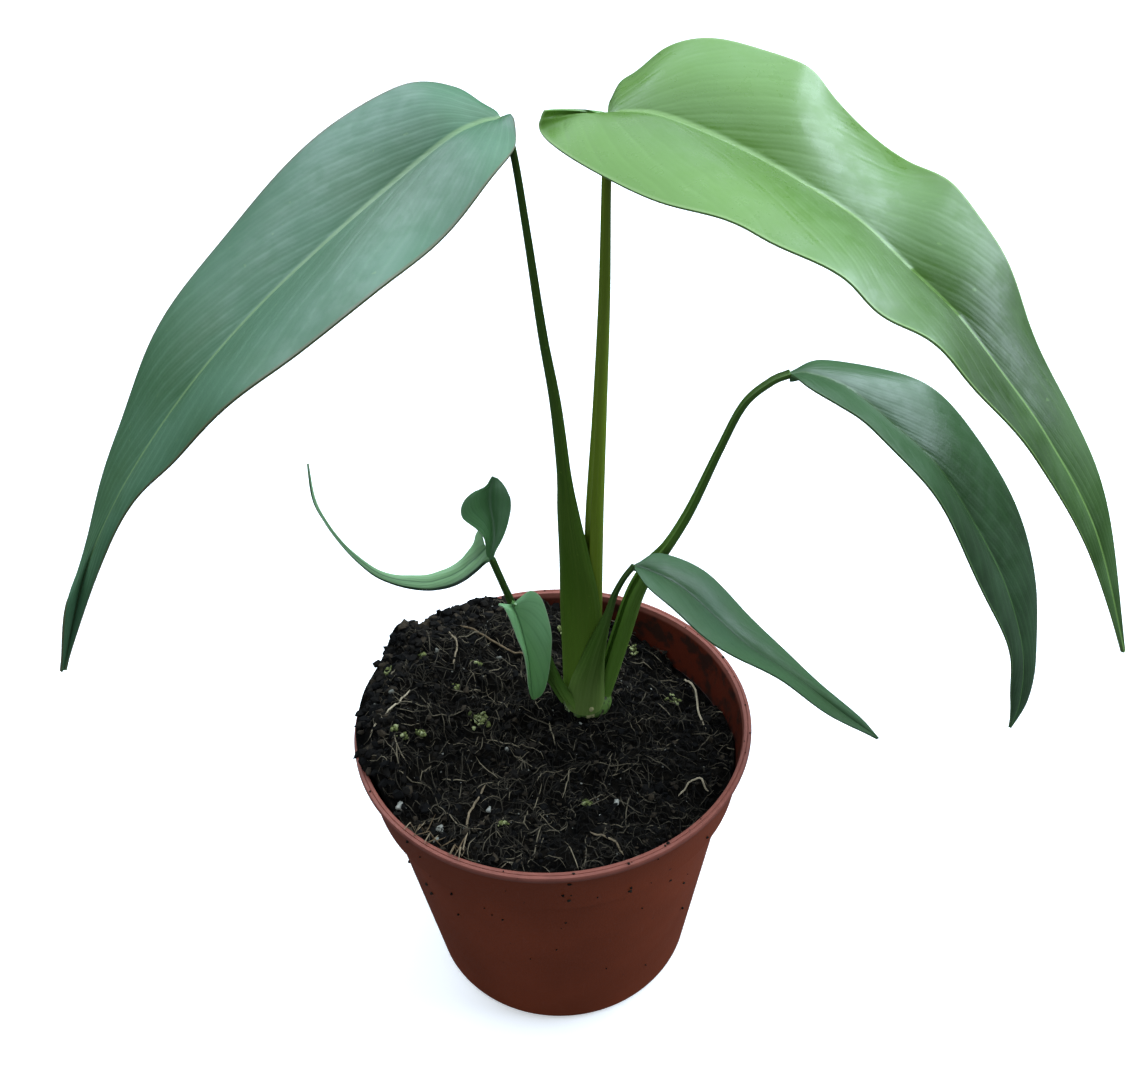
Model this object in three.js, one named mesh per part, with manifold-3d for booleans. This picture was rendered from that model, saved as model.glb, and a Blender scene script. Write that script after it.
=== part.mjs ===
// Potted flame monstera: a thin plastic nursery pot, peat soil, and a young climbing aroid with six leaves.
// Millimetres, +Z up. The origin is the centre of the pot's underside, and the photo is taken from -Y.

import * as THREE from "three";
import loadManifold from "manifold-3d";

const manifold = await loadManifold();
manifold.setup();

// Clearance between neighbouring pieces, and between a stalk's end and its blade
const GAP = 0.3;
const JOINT_GAP = 0.45;

// Pot: a common 12 cm nursery pot
const RIM_RADIUS = 60;
const POT_HEIGHT = 96;
const LIP_WIDTH = 2.3;
const LIP_DROP = 2.6;
const COLLAR_HEIGHT = 18.6;
const COLLAR_FOOT_RADIUS = 56.3;
const BODY_TOP_RADIUS = 53.6;
const BODY_STEP = 1.4;
const BASE_RADIUS = 42.6;
const BASE_CORNER = 3.5;
const POT_WALL = 1.2;
const POT_FLOOR = 1.6;
const POT_SIDES = 60;
const DRAIN_HOLES = 6;
const DRAIN_RADIUS = 4;
const DRAIN_CIRCLE = 30;

// Soil surface: low at the right and back, heaped at the left
const SOIL_LEVEL = 88;
const SOIL_HEAP = { x: -42, y: 24, rise: 13, spreadX: 26, spreadY: 34 };
const SOIL_LEFT_HEAP = { x: -50, y: -12, rise: 9, spreadX: 12, spreadY: 22 };
const SOIL_BACK_HEAP = { x: -16, y: 50, rise: 7, spreadX: 22, spreadY: 18 };
const SOIL_CLOD = { x: -46, y: 31, rise: 6, spreadX: 6, spreadY: 6 };
const SOIL_SINK = { x: 48, y: 30, rise: -9, spreadX: 24, spreadY: 34 };
const SOIL_FRONT = { x: -6, y: -50, rise: 5, spreadX: 40, spreadY: 14 };
// Where the heap rises past the rim, it lies out over the lip as far as this radius.
const SPILL_RADIUS = RIM_RADIUS - 0.9;
const SOIL_RINGS = 20;
const SOIL_SECTORS = 60;
const SOIL_LUMPS = 46;
const SOIL_SEED = 20417;

// Crown: the short creeping stem that the leaves grow from
const CROWN = { x: 10.5, y: 14, halfX: 7.8, halfY: 6.6, bottom: 58, top: 93 };
const BUD = { x: 11.6, y: 7.8, z: 91, radius: 1.3, length: 4 };

// Leaf stalks: rows of [x, y, z, half width across, half depth towards the open side, sheath 0..1]
const STALK_SIDES = 8;
const SHEATH_EDGE = 0.8;
const SHEATH_WRAP = 140;
const STALK_WRAP = 125;

const STALKS = {
  petiole_large_left: {
    open: [1, 0.14, 0],
    back: 5,
    color: 0x2c4d16,
    rows: [
      [9.8, 15, 89.5, 5, 6.4, 1],
      [10, 15, 106, 5.1, 6.5, 1],
      [10, 15, 128, 5, 6.5, 1],
      [8.8, 14.5, 146, 4.4, 5, 0.8],
      [7.4, 14, 163, 3.1, 3.6, 0.4],
      [6.5, 13.5, 177, 2.4, 2.4, 0],
      [4.9, 13, 199, 1.9, 1.9, 0],
      [2.3, 12.5, 220, 1.5, 1.5, 0],
      [-0.3, 12, 247, 1.2, 1.2, 0],
      [-2.5, 12.5, 266.5, 1.1, 1.1, 0],
      [-4.8, 14, 274, 1.3, 1.3, 0],
    ],
  },
  petiole_large_right: {
    open: [-1, -0.3, 0],
    back: 3,
    color: 0x4f6b22,
    rows: [
      [12.4, 15.6, 90, 3, 3, 0],
      [13, 15.6, 127, 3, 3.1, 0],
      [14, 16, 158, 2.9, 2.9, 0],
      [16, 16.8, 192, 2.2, 2.2, 0],
      [17.7, 16.4, 226, 1.7, 1.7, 0],
      [18.5, 14, 257, 1.3, 1.3, 0],
      [19.2, 12.1, 274, 1.4, 1.4, 0],
    ],
  },
  petiole_middle_right: {
    open: [-0.8, -0.1, 0.6],
    back: 2.2,
    color: 0x3f6a1e,
    rows: [
      [15.6, 15.6, 89.5, 3.2, 2.8, 1],
      [18.5, 16.5, 100.6, 3.6, 3, 1],
      [22.1, 17.5, 114, 3.6, 3, 1],
      [26, 18.4, 128, 3.3, 2.8, 0.9],
      [30.4, 18.5, 138, 2.6, 2.4, 0.5],
      [35.6, 18.5, 146, 1.8, 1.8, 0.1],
      [41.6, 18, 159, 1.6, 1.6, 0],
      [48.4, 16, 179.5, 1.3, 1.3, 0],
      [53.9, 13, 196, 1.2, 1.2, 0],
      [60.2, 11, 204, 1.2, 1.2, 0],
      [65, 10, 207, 1.2, 1.2, 0],
    ],
  },
  petiole_small_right: {
    open: [-0.5, 0.85, 0],
    back: 1.5,
    color: 0x335a1a,
    rows: [
      [10, 12.4, 89.5, 6.4, 6, 1],
      [11.2, 11.6, 101, 5.2, 5, 1],
      [13.4, 9.6, 113, 3.2, 3.4, 0.9],
      [16, 8, 124, 1.8, 2, 0.5],
      [17.8, 7.2, 131, 1.2, 1.3, 0.1],
      [19.5, 6.5, 138, 1, 1, 0],
      [22.1, 5.8, 144.5, 0.9, 0.9, 0],
      [25.1, 6, 149, 0.9, 0.9, 0],
    ],
  },
  petiole_curled_left: {
    open: [-0.5, -0.5, 0.7],
    back: 1.4,
    color: 0x35591c,
    rows: [
      [4.6, 12.4, 89.5, 2, 1.8, 0.5],
      [1.4, 12, 97, 1.8, 1.7, 0.5],
      [-4.6, 11, 113, 1.5, 1.5, 0.1],
      [-10.2, 10, 132, 1.2, 1.2, 0],
      [-12.8, 9, 142, 1.1, 1.1, 0],
      [-15, 8, 151, 1.1, 1.1, 0],
    ],
  },
  petiole_small_front: {
    open: [-0.6, -0.4, 0.6],
    back: 1.3,
    color: 0x3c6a20,
    rows: [
      [6.4, 9, 91, 2, 1.8, 0.6],
      [3.4, 8, 98.8, 1.7, 1.6, 0.5],
      [1.2, 7, 107, 1.1, 1.1, 0],
      [-1.4, 5.2, 118.5, 0.9, 0.9, 0],
      [-5, 3.4, 131, 0.8, 0.8, 0],
      [-9.4, 0.4, 141, 0.8, 0.8, 0],
    ],
  },
};

// Leaf blades: rows of [midrib, left margin, right margin] from base to tip,
// with left and right as seen on the upper face with the tip ahead.
const BLADE_THICKNESS = 0.8;
const TIP_TRIM = 0.993;

const BLADES = {
  blade_large_left: {
    rows: 24, columns: 10, rib: 1.6, arch: 0.05, wave: 0.5, waves: 5,
    color: 0x55826e,
    stations: [
      [[-5, 14, 274], [-3, 13, 275], [-6, 16, 274]],
      [[-6, 13, 274], [-2, 8, 275], [-9, 19, 276]],
      [[-10, 11, 274], [-2, 0, 272], [-16, 23, 278]],
      [[-17, 7, 272], [-8, -11, 268], [-28, 24, 279]],
      [[-31, 2, 263], [-19, -21, 260], [-44, 23, 271]],
      [[-46, -5, 253], [-32, -31, 253], [-63, 18, 257]],
      [[-61, -12, 242], [-47, -37, 245], [-79, 10, 242]],
      [[-75, -20, 230], [-62, -41, 235], [-92, -2, 227]],
      [[-88, -27, 216], [-77, -41, 222], [-101, -15, 210]],
      [[-98, -34, 203], [-90, -40, 209], [-106, -30, 195]],
      [[-107, -40, 187], [-102, -42, 191], [-110, -45, 184]],
      [[-117, -46, 162], [-117, -46, 162], [-117, -46, 162]],
    ],
  },
  blade_large_right: {
    rows: 26, columns: 10, rib: 1.6, arch: 0.05, wave: 0.7, waves: 6,
    color: 0x87be7d,
    stations: [
      [[19, 12, 274], [21, 28, 273], [5, 6, 277]],
      [[22, 12, 275], [25, 31, 277], [4, 5, 274]],
      [[30, 10, 275], [34, 32, 283], [11, -4, 270]],
      [[40, 7, 272], [49, 31, 284], [27, -17, 267]],
      [[52, 3, 267], [64, 27, 280], [42, -25, 264]],
      [[63, -3, 262], [73, 23, 272], [52, -31, 262]],
      [[74, -9, 256], [89, 16, 260], [64, -36, 256]],
      [[84, -16, 248], [98, 3, 258], [73, -40, 250]],
      [[93, -24, 241], [105, -8, 250], [83, -44, 244]],
      [[102, -31, 231], [112, -18, 235], [94, -46, 234]],
      [[114, -38, 216], [122, -30, 217], [108, -47, 217]],
      [[128, -43, 193], [132, -39, 195], [124, -47, 194]],
      [[143, -46, 155], [143, -46, 155], [143, -46, 155]],
    ],
  },
  blade_middle_right: {
    rows: 22, columns: 10, rib: 1.4, arch: 0.06, wave: 0.4, waves: 4,
    color: 0x46734b,
    stations: [
      [[65, 10, 207], [66, 13, 206], [65, 7, 208]],
      [[70, 10, 207], [75, 18, 206], [68, 1, 209]],
      [[80, 9, 203], [89, 21, 202], [75, -5, 206]],
      [[92, 7, 193], [106, 22, 194], [84, -9, 201]],
      [[105, 4, 181], [120, 20, 180], [96, -14, 189]],
      [[118, 0, 162], [133, 14, 159], [107, -15, 172]],
      [[128, -4, 144], [141, 6, 137], [118, -16, 151]],
      [[135, -8, 124], [142, -2, 117], [128, -16, 130]],
      [[136, -12, 109], [140, -9, 105], [132, -15, 112]],
      [[134, -15, 99], [134, -15, 99], [134, -15, 99]],
    ],
  },
  blade_small_right: {
    rows: 16, columns: 8, rib: 1, arch: 0.06, wave: 0.2, waves: 3,
    color: 0x3f7348,
    stations: [
      [[25, 6, 149], [26, 8, 148], [25, 4, 149]],
      [[29, 5, 148], [33, 12, 148], [28, -3, 149]],
      [[38, 2, 144], [46, 12, 141], [34, -10, 147]],
      [[48, -3, 136], [59, 4, 129], [42, -16, 142]],
      [[57, -9, 130], [69, -6, 124], [51, -20, 137]],
      [[69, -15, 124], [78, -14, 118], [64, -23, 130]],
      [[81, -21, 116], [87, -22, 114], [78, -25, 118]],
      [[92, -27, 110], [92, -27, 110], [92, -27, 110]],
    ],
  },
  blade_curled_left: {
    rows: 26, columns: 6, rib: 0.5, arch: 0.1, wave: 0, waves: 1,
    color: 0x4c8350,
    stations: [
      [[-16.5, 9, 154.5], [-15.5, 8.2, 150.2], [-18, 12, 159.3]],
      [[-18, 8.4, 153.2], [-17, 7.2, 150], [-19.3, 11.8, 157.4]],
      [[-19.6, 7.8, 151.8], [-18.6, 6.2, 149], [-20.2, 11.2, 154.7]],
      [[-21.5, 7.2, 150.5], [-20.8, 5.2, 147.6], [-21.9, 10.4, 152.5]],
      [[-23.7, 6.5, 149], [-23.1, 4.4, 146.3], [-24.1, 9.6, 150.2]],
      [[-26.4, 5.6, 147.9], [-26, 3.6, 145.3], [-26.9, 8.4, 148.8]],
      [[-29.4, 4.6, 147.5], [-29.2, 2.8, 145], [-29.9, 7.2, 148.3]],
      [[-33, 3.6, 147.3], [-33.1, 2, 145.3], [-33.5, 5.8, 148.2]],
      [[-37, 2.6, 148.5], [-37.5, 1.2, 146.7], [-37.3, 4.4, 149.3]],
      [[-41.6, 1.6, 150.4], [-42.2, 0.6, 149], [-41.9, 3, 150.9]],
      [[-46.3, 0.8, 153.5], [-47, 0, 152.7], [-46.2, 1.8, 153.9]],
      [[-50.5, 0.2, 158.7], [-51.1, -0.4, 158.2], [-50.4, 0.9, 159.1]],
      [[-54.5, 0, 164.8], [-54.8, -0.4, 164.5], [-54.3, 0.5, 165.1]],
      [[-58, 1, 171.6], [-58.3, 0.6, 171.4], [-57.8, 1.4, 171.8]],
      [[-60.7, 4, 177.3], [-60.9, 3.6, 177.2], [-60.4, 4.4, 177.3]],
      [[-62.3, 12, 184.4], [-62.3, 12, 184.4], [-62.3, 12, 184.4]],
    ],
    head: {
      rows: 18, columns: 6, arch: 0.05,
      stations: [
        [[-15.4, 8, 150.7], [-16, 8, 150.6], [-14.6, 8, 151]],
        [[-15.1, 8.2, 152.6], [-16.5, 7.9, 153.3], [-13.9, 8.2, 153.4]],
        [[-14.7, 8.8, 154.7], [-16.4, 7.8, 156.2], [-13.2, 8.8, 154.5]],
        [[-14.2, 9.8, 157.1], [-16.6, 7.9, 158.7], [-11.8, 9.6, 156.8]],
        [[-14.1, 11, 159.6], [-17.6, 8.2, 160.5], [-10.5, 10.6, 159.6]],
        [[-14.2, 12.2, 162.2], [-18.8, 8.6, 161.7], [-9.5, 11.6, 162.7]],
        [[-14.6, 13.2, 164.5], [-20.5, 9, 163], [-8.9, 12.6, 165.4]],
        [[-14.7, 14, 166.7], [-22.3, 9.6, 164.6], [-8.9, 13.4, 167.9]],
        [[-14.6, 14.6, 168.8], [-22.7, 10.6, 166.8], [-9.5, 14, 169.6]],
        [[-14.4, 15.1, 170.5], [-21.5, 12, 169.2], [-10.1, 14.6, 171]],
        [[-14.1, 15.5, 171.7], [-19.1, 13.4, 170.7], [-10.9, 15.2, 172.1]],
        [[-13.8, 15.8, 172.7], [-15.9, 14.8, 171.4], [-11.8, 15.6, 173]],
        [[-13.6, 15.9, 173.3], [-14.6, 15.4, 172.6], [-12.6, 15.8, 173.6]],
        [[-13.5, 16, 173.8], [-13.5, 16, 173.8], [-13.5, 16, 173.8]],
      ],
    },
  },
  blade_small_front: {
    rows: 18, columns: 6, rib: 0.5, arch: 0.08, wave: 0, waves: 1,
    color: 0x48824e,
    stations: [
      [[-9.7, 0, 141.2], [-9.1, 0, 141.5], [-10.2, 0, 141]],
      [[-9.4, -0.3, 140.3], [-7.6, 0.6, 142.8], [-12.2, -1, 142.3]],
      [[-9, -0.6, 139.2], [-4.4, 1.4, 144.6], [-13.3, -1.8, 142.9]],
      [[-8.5, -1, 137.9], [-1.7, 1.8, 141.9], [-11.9, -2.4, 141.8]],
      [[-7.7, -1.5, 134.5], [-0.1, 1.8, 135.8], [-10.5, -3.2, 138.4]],
      [[-6.8, -2.1, 129.3], [0.9, 1.4, 127.7], [-8.7, -4, 131.8]],
      [[-6.1, -2.6, 123.1], [0.5, 0.8, 121], [-7, -4.4, 125.8]],
      [[-5.8, -3, 117], [-0.3, -0.2, 114.9], [-6.5, -4.4, 119.2]],
      [[-5.7, -3, 111.8], [-1.6, -1.2, 109.2], [-6.5, -4, 113.2]],
      [[-5.6, -2.6, 107.7], [-3.2, -1.8, 106.3], [-6.3, -3.2, 108.7]],
      [[-5.4, -2.2, 105.2], [-5.4, -2.2, 105.2], [-5.4, -2.2, 105.2]],
    ],
  },
};

// Helpers between three.js geometry and manifold-3d solids

function seededRandom(seed) {
  let state = seed;
  return () => {
    state = (state * 1664525 + 1013904223) % 4294967296;
    return state / 4294967296;
  };
}

function solidFromTriangles(points, triangles) {
  const vertices = new Float32Array(points.length * 3);
  points.forEach((p, i) => vertices.set([p.x, p.y, p.z], i * 3));
  return new manifold.Manifold(
    new manifold.Mesh({ numProp: 3, vertProperties: vertices, triVerts: new Uint32Array(triangles) }),
  );
}

function latheSolid(profile, sides) {
  // The profile is a closed ring of [radius, height], turned round +Z.
  const points = profile.map(([r, z]) => new THREE.Vector2(r, z));
  const section = new manifold.CrossSection([points.map((p) => [p.x, p.y])]);
  return section.revolve(sides);
}

function geometryFromSolid(solid) {
  const mesh = solid.getMesh();
  const geometry = new THREE.BufferGeometry();
  geometry.setAttribute("position", new THREE.BufferAttribute(new Float32Array(mesh.vertProperties), 3));
  geometry.setIndex(new THREE.BufferAttribute(new Uint32Array(mesh.triVerts), 1));
  return geometry.toNonIndexed();
}

function railCurve(points) {
  const rail = points.map(([x, y, z]) => new THREE.Vector3(x, y, z));
  return new THREE.CatmullRomCurve3(rail, false, "catmullrom", 0.5);
}

// Pot

function wallRadius(z) {
  // Inner face of the pot at height z
  const collarFoot = POT_HEIGHT - COLLAR_HEIGHT;
  if (z > collarFoot + POT_WALL) {
    const rise = (z - collarFoot) / COLLAR_HEIGHT;
    return COLLAR_FOOT_RADIUS + (RIM_RADIUS - COLLAR_FOOT_RADIUS) * rise * 0.62 - POT_WALL;
  }
  return BASE_RADIUS + (BODY_TOP_RADIUS - BASE_RADIUS) * (z / (collarFoot - BODY_STEP)) - POT_WALL;
}

function makePot() {
  const collarFoot = POT_HEIGHT - COLLAR_HEIGHT;
  const bodyTop = collarFoot - BODY_STEP;
  const corner = [];
  for (let i = 0; i <= 3; i += 1) {
    const angle = (i / 3) * (Math.PI / 2);
    corner.push([
      BASE_RADIUS - BASE_CORNER + BASE_CORNER * Math.sin(angle),
      BASE_CORNER - BASE_CORNER * Math.cos(angle),
    ]);
  }
  const lipInner = RIM_RADIUS - LIP_WIDTH;
  const collarTop = POT_HEIGHT - LIP_DROP;
  const outside = [
    [0, 0],
    ...corner,
    [BODY_TOP_RADIUS, bodyTop],
    [COLLAR_FOOT_RADIUS - 0.5, collarFoot],
    [COLLAR_FOOT_RADIUS, collarFoot + 0.6],
    [wallRadius(collarTop) + POT_WALL, collarTop],
    [RIM_RADIUS - 0.5, collarTop + 0.3],
    [RIM_RADIUS, collarTop + 0.9],
    [RIM_RADIUS, POT_HEIGHT - 0.4],
    [RIM_RADIUS - 0.5, POT_HEIGHT],
  ];
  const inside = [
    [lipInner + 0.3, POT_HEIGHT],
    [lipInner - 0.1, POT_HEIGHT - 0.4],
    [wallRadius(collarTop), collarTop - 0.4],
    [wallRadius(collarFoot + POT_WALL + 0.01), collarFoot + POT_WALL],
    [wallRadius(collarFoot), collarFoot - 0.3],
    [wallRadius(POT_FLOOR + 3), POT_FLOOR + 3],
    [wallRadius(POT_FLOOR) - 3, POT_FLOOR],
    [0, POT_FLOOR],
  ];
  let pot = latheSolid([...outside, ...inside], POT_SIDES);
  for (let i = 0; i < DRAIN_HOLES; i += 1) {
    const angle = (2 * Math.PI * (i + 0.5)) / DRAIN_HOLES;
    const drill = manifold.Manifold.cylinder(POT_FLOOR * 3, DRAIN_RADIUS, DRAIN_RADIUS, 24, true)
      .translate([DRAIN_CIRCLE * Math.cos(angle), DRAIN_CIRCLE * Math.sin(angle), 0]);
    pot = pot.subtract(drill);
  }
  return pot;
}

// Soil

function makeLumps() {
  const random = seededRandom(SOIL_SEED);
  const lumps = [];
  while (lumps.length < SOIL_LUMPS) {
    const angle = random() * 2 * Math.PI;
    const distance = 54 * Math.sqrt(random());
    const lump = {
      x: distance * Math.cos(angle),
      y: distance * Math.sin(angle),
      width: 2.6 + 2.6 * random(),
      rise: 0.8 + 1.6 * random(),
    };
    const clear = Math.hypot(lump.x - CROWN.x, lump.y - CROWN.y) > 20;
    if (clear) lumps.push(lump);
  }
  return lumps;
}

function heap({ x, y, rise, spreadX, spreadY }, px, py) {
  return rise * Math.exp(-(((px - x) / spreadX) ** 2) - ((py - y) / spreadY) ** 2);
}

function soilHeight(x, y, lumps) {
  let z = SOIL_LEVEL;
  z += heap(SOIL_HEAP, x, y) + heap(SOIL_LEFT_HEAP, x, y) + heap(SOIL_CLOD, x, y);
  z += heap(SOIL_BACK_HEAP, x, y);
  z += heap(SOIL_SINK, x, y) + heap(SOIL_FRONT, x, y);
  z += 0.7 * Math.sin(x * 0.31 + 1.2) * Math.cos(y * 0.27) + 0.5 * Math.sin(x * 0.13 - y * 0.41);
  for (const lump of lumps) {
    z += lump.rise * Math.exp(-(((x - lump.x) ** 2 + (y - lump.y) ** 2) / (lump.width * lump.width)));
  }
  return z;
}

function makeSoil() {
  const lumps = makeLumps();
  const points = [new THREE.Vector3(0, 0, soilHeight(0, 0, lumps))];
  const triangles = [];
  const ring = (radiusAt, heightAt) => {
    const first = points.length;
    for (let j = 0; j < SOIL_SECTORS; j += 1) {
      const angle = (2 * Math.PI * j) / SOIL_SECTORS;
      const radius = radiusAt(angle);
      const x = radius * Math.cos(angle);
      const y = radius * Math.sin(angle);
      points.push(new THREE.Vector3(x, y, heightAt(x, y)));
    }
    return first;
  };
  const join = (inner, outer) => {
    for (let j = 0; j < SOIL_SECTORS; j += 1) {
      const k = (j + 1) % SOIL_SECTORS;
      triangles.push(inner + j, outer + j, outer + k, inner + j, outer + k, inner + k);
    }
  };
  const collarFoot = POT_HEIGHT - COLLAR_HEIGHT;
  const inner = wallRadius(SOIL_LEVEL) - GAP;
  const edgeHeight = (angle) => soilHeight(inner * Math.cos(angle), inner * Math.sin(angle), []);
  const shoulderHeight = (angle) => Math.min(edgeHeight(angle) - 1.6, POT_HEIGHT - 1.2);
  const shoulderRadius = (angle) => wallRadius(Math.min(shoulderHeight(angle), SOIL_LEVEL)) - GAP;
  const edgeRadius = (angle) => {
    const over = THREE.MathUtils.clamp((edgeHeight(angle) - POT_HEIGHT - 0.6) / 1.5, 0, 1);
    return shoulderRadius(angle) + (SPILL_RADIUS - shoulderRadius(angle)) * over;
  };
  let previous = null;
  for (let i = 1; i <= SOIL_RINGS; i += 1) {
    const share = i / SOIL_RINGS;
    const last = i === SOIL_RINGS;
    const current = ring(
      (angle) => edgeRadius(angle) * share,
      (x, y) => (last ? edgeHeight(Math.atan2(y, x)) - 0.8 : soilHeight(x, y, lumps)),
    );
    if (previous === null) {
      for (let j = 0; j < SOIL_SECTORS; j += 1) {
        triangles.push(0, current + j, current + ((j + 1) % SOIL_SECTORS));
      }
    } else {
      join(previous, current);
    }
    previous = current;
  }
  const shoulder = ring(shoulderRadius, (x, y) => shoulderHeight(Math.atan2(y, x)));
  join(previous, shoulder);
  previous = shoulder;
  const side = [
    [wallRadius(collarFoot + POT_WALL + 0.01) - GAP, collarFoot + POT_WALL + GAP],
    [wallRadius(collarFoot) - GAP, collarFoot + 0.1],
    [wallRadius(POT_FLOOR + 3) - GAP, POT_FLOOR + 3],
  ];
  for (const [radius, level] of side) {
    const current = ring(() => radius, () => level);
    join(previous, current);
    previous = current;
  }
  const floor = ring(() => wallRadius(POT_FLOOR) - 3 - GAP, () => POT_FLOOR + GAP);
  join(previous, floor);
  const bottom = points.length;
  points.push(new THREE.Vector3(0, 0, POT_FLOOR + GAP));
  for (let j = 0; j < SOIL_SECTORS; j += 1) {
    triangles.push(bottom, floor + ((j + 1) % SOIL_SECTORS), floor + j);
  }
  // The spilled part rests on the lip, so the lip's own room is cut from it.
  const lipRoom = latheSolid([
    [inner + 0.2, POT_HEIGHT - 6],
    [RIM_RADIUS + 1, POT_HEIGHT - 6],
    [RIM_RADIUS + 1, POT_HEIGHT + GAP],
    [inner + 0.2, POT_HEIGHT + GAP],
  ], POT_SIDES);
  return solidFromTriangles(points, triangles).subtract(lipRoom);
}

// Crown

function makeCrown(grow) {
  const { x, y, halfX, halfY, bottom, top } = CROWN;
  const steps = 8;
  const profile = [[0, bottom - grow]];
  for (let i = 0; i <= steps; i += 1) {
    const share = i / steps;
    const height = bottom + (top - 5 - bottom) * share;
    const ridge = 0.03 * Math.cos(share * Math.PI * 8);
    profile.push([0.72 + 0.28 * share + ridge, height - (i === 0 ? grow : 0)]);
  }
  for (let i = 1; i <= 3; i += 1) {
    const angle = (i / 4) * (Math.PI / 2);
    profile.push([Math.cos(angle), top - 5 + (5 + grow) * Math.sin(angle)]);
  }
  profile.push([0, top + grow]);
  const stub = latheSolid(profile, 24).scale([halfX + grow, halfY + grow, 1]).translate([x, y, 0]);
  const bud = manifold.Manifold.sphere(1, 12)
    .scale([BUD.radius + grow, BUD.radius + grow, BUD.length / 2 + grow])
    .rotate([14, 10, 0])
    .translate([BUD.x, BUD.y, BUD.z]);
  return stub.add(bud);
}

// Leaf stalks

function rowAt(rows, share) {
  // Catmull-Rom through the rows, in every column
  const scaled = share * (rows.length - 1);
  const i = Math.min(Math.floor(scaled), rows.length - 2);
  const t = scaled - i;
  return rows[0].map((_, c) => {
    const b = rows[i][c];
    const d = rows[i + 1][c];
    const a = i > 0 ? rows[i - 1][c] : 2 * b - d;
    const e = i + 2 < rows.length ? rows[i + 2][c] : 2 * d - b;
    const m0 = (d - a) / 2;
    const m1 = (e - b) / 2;
    return (
      (2 * t ** 3 - 3 * t ** 2 + 1) * b + (t ** 3 - 2 * t ** 2 + t) * m0
      + (-2 * t ** 3 + 3 * t ** 2) * d + (t ** 3 - t ** 2) * m1
    );
  });
}

function stalkSection(across, depth, sheath, back, filled) {
  // The outer arc, then the inner arc that hollows the sheath and flattens to the stalk's channel
  const open = THREE.MathUtils.clamp(sheath, 0, 1);
  const wrap = THREE.MathUtils.degToRad(STALK_WRAP + (SHEATH_WRAP - STALK_WRAP) * open);
  const edge = Math.min(SHEATH_EDGE, across * 0.45);
  const outline = [];
  for (let i = 0; i <= STALK_SIDES; i += 1) {
    const angle = wrap * ((2 * i) / STALK_SIDES - 1);
    outline.push(new THREE.Vector2(across * Math.sin(angle), -depth * Math.cos(angle)));
  }
  const innerEnd = new THREE.Vector2((across - edge) * Math.sin(wrap), -(depth - edge) * Math.cos(wrap));
  const steps = 5;
  for (let i = 0; i <= steps; i += 1) {
    const side = 1 - (2 * i) / steps;
    const angle = wrap * side;
    const wall = edge + (Math.min(back, depth * 0.9) - edge) * Math.max(0, Math.cos(angle));
    const arc = new THREE.Vector2((across - edge) * Math.sin(angle), -(depth - wall) * Math.cos(angle));
    const chord = new THREE.Vector2(innerEnd.x * side, innerEnd.y - 0.12 * depth * (1 - side * side));
    outline.push(filled ? chord : chord.lerp(arc, open));
  }
  return outline;
}

function makeStalk({ open, back, rows }, { grow = 0, filled = false } = {}) {
  const openSide = new THREE.Vector3(...open).normalize();
  const count = Math.max(12, Math.round((rows.length - 1) * 2.4));
  const points = [];
  const triangles = [];
  let outline = [];
  for (let i = 0; i <= count; i += 1) {
    const share = i / count;
    const [x, y, z, across, depth, sheath] = rowAt(rows, share);
    const ahead = rowAt(rows, Math.min(1, share + 0.002));
    const behind = rowAt(rows, Math.max(0, share - 0.002));
    const along = new THREE.Vector3(ahead[0] - behind[0], ahead[1] - behind[1], ahead[2] - behind[2]).normalize();
    const side = new THREE.Vector3().crossVectors(along, openSide).normalize();
    const facing = new THREE.Vector3().crossVectors(side, along);
    outline = stalkSection(across + grow, depth + grow, sheath, back, filled);
    for (const p of outline) {
      points.push(new THREE.Vector3(x, y, z).addScaledVector(side, p.x).addScaledVector(facing, p.y));
    }
  }
  const n = outline.length;
  for (let i = 0; i < count; i += 1) {
    for (let j = 0; j < n; j += 1) {
      const k = (j + 1) % n;
      const a = i * n;
      const b = a + n;
      triangles.push(a + j, b + k, a + k, a + j, b + j, b + k);
    }
  }
  const startFaces = THREE.ShapeUtils.triangulateShape(capOutline(rows[0], filled, grow, back), []);
  const endFaces = THREE.ShapeUtils.triangulateShape(capOutline(rows[rows.length - 1], filled, grow, back), []);
  for (const [a, b, c] of startFaces) triangles.push(a, b, c);
  const last = count * n;
  for (const [a, b, c] of endFaces) triangles.push(last + a, last + c, last + b);
  const solid = solidFromTriangles(points, triangles);
  return solid;
}

function capOutline(row, filled, grow, back) {
  return stalkSection(row[3] + grow, row[4] + grow, row[5], back, filled);
}

// Leaf blades

// Direction in which a rail runs at u, over a short stretch of it.
const STRETCH = 0.01;

function heading(curve, u) {
  return curve.getPoint(Math.min(1, u + STRETCH)).sub(curve.getPoint(Math.max(0, u - STRETCH)));
}

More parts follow.
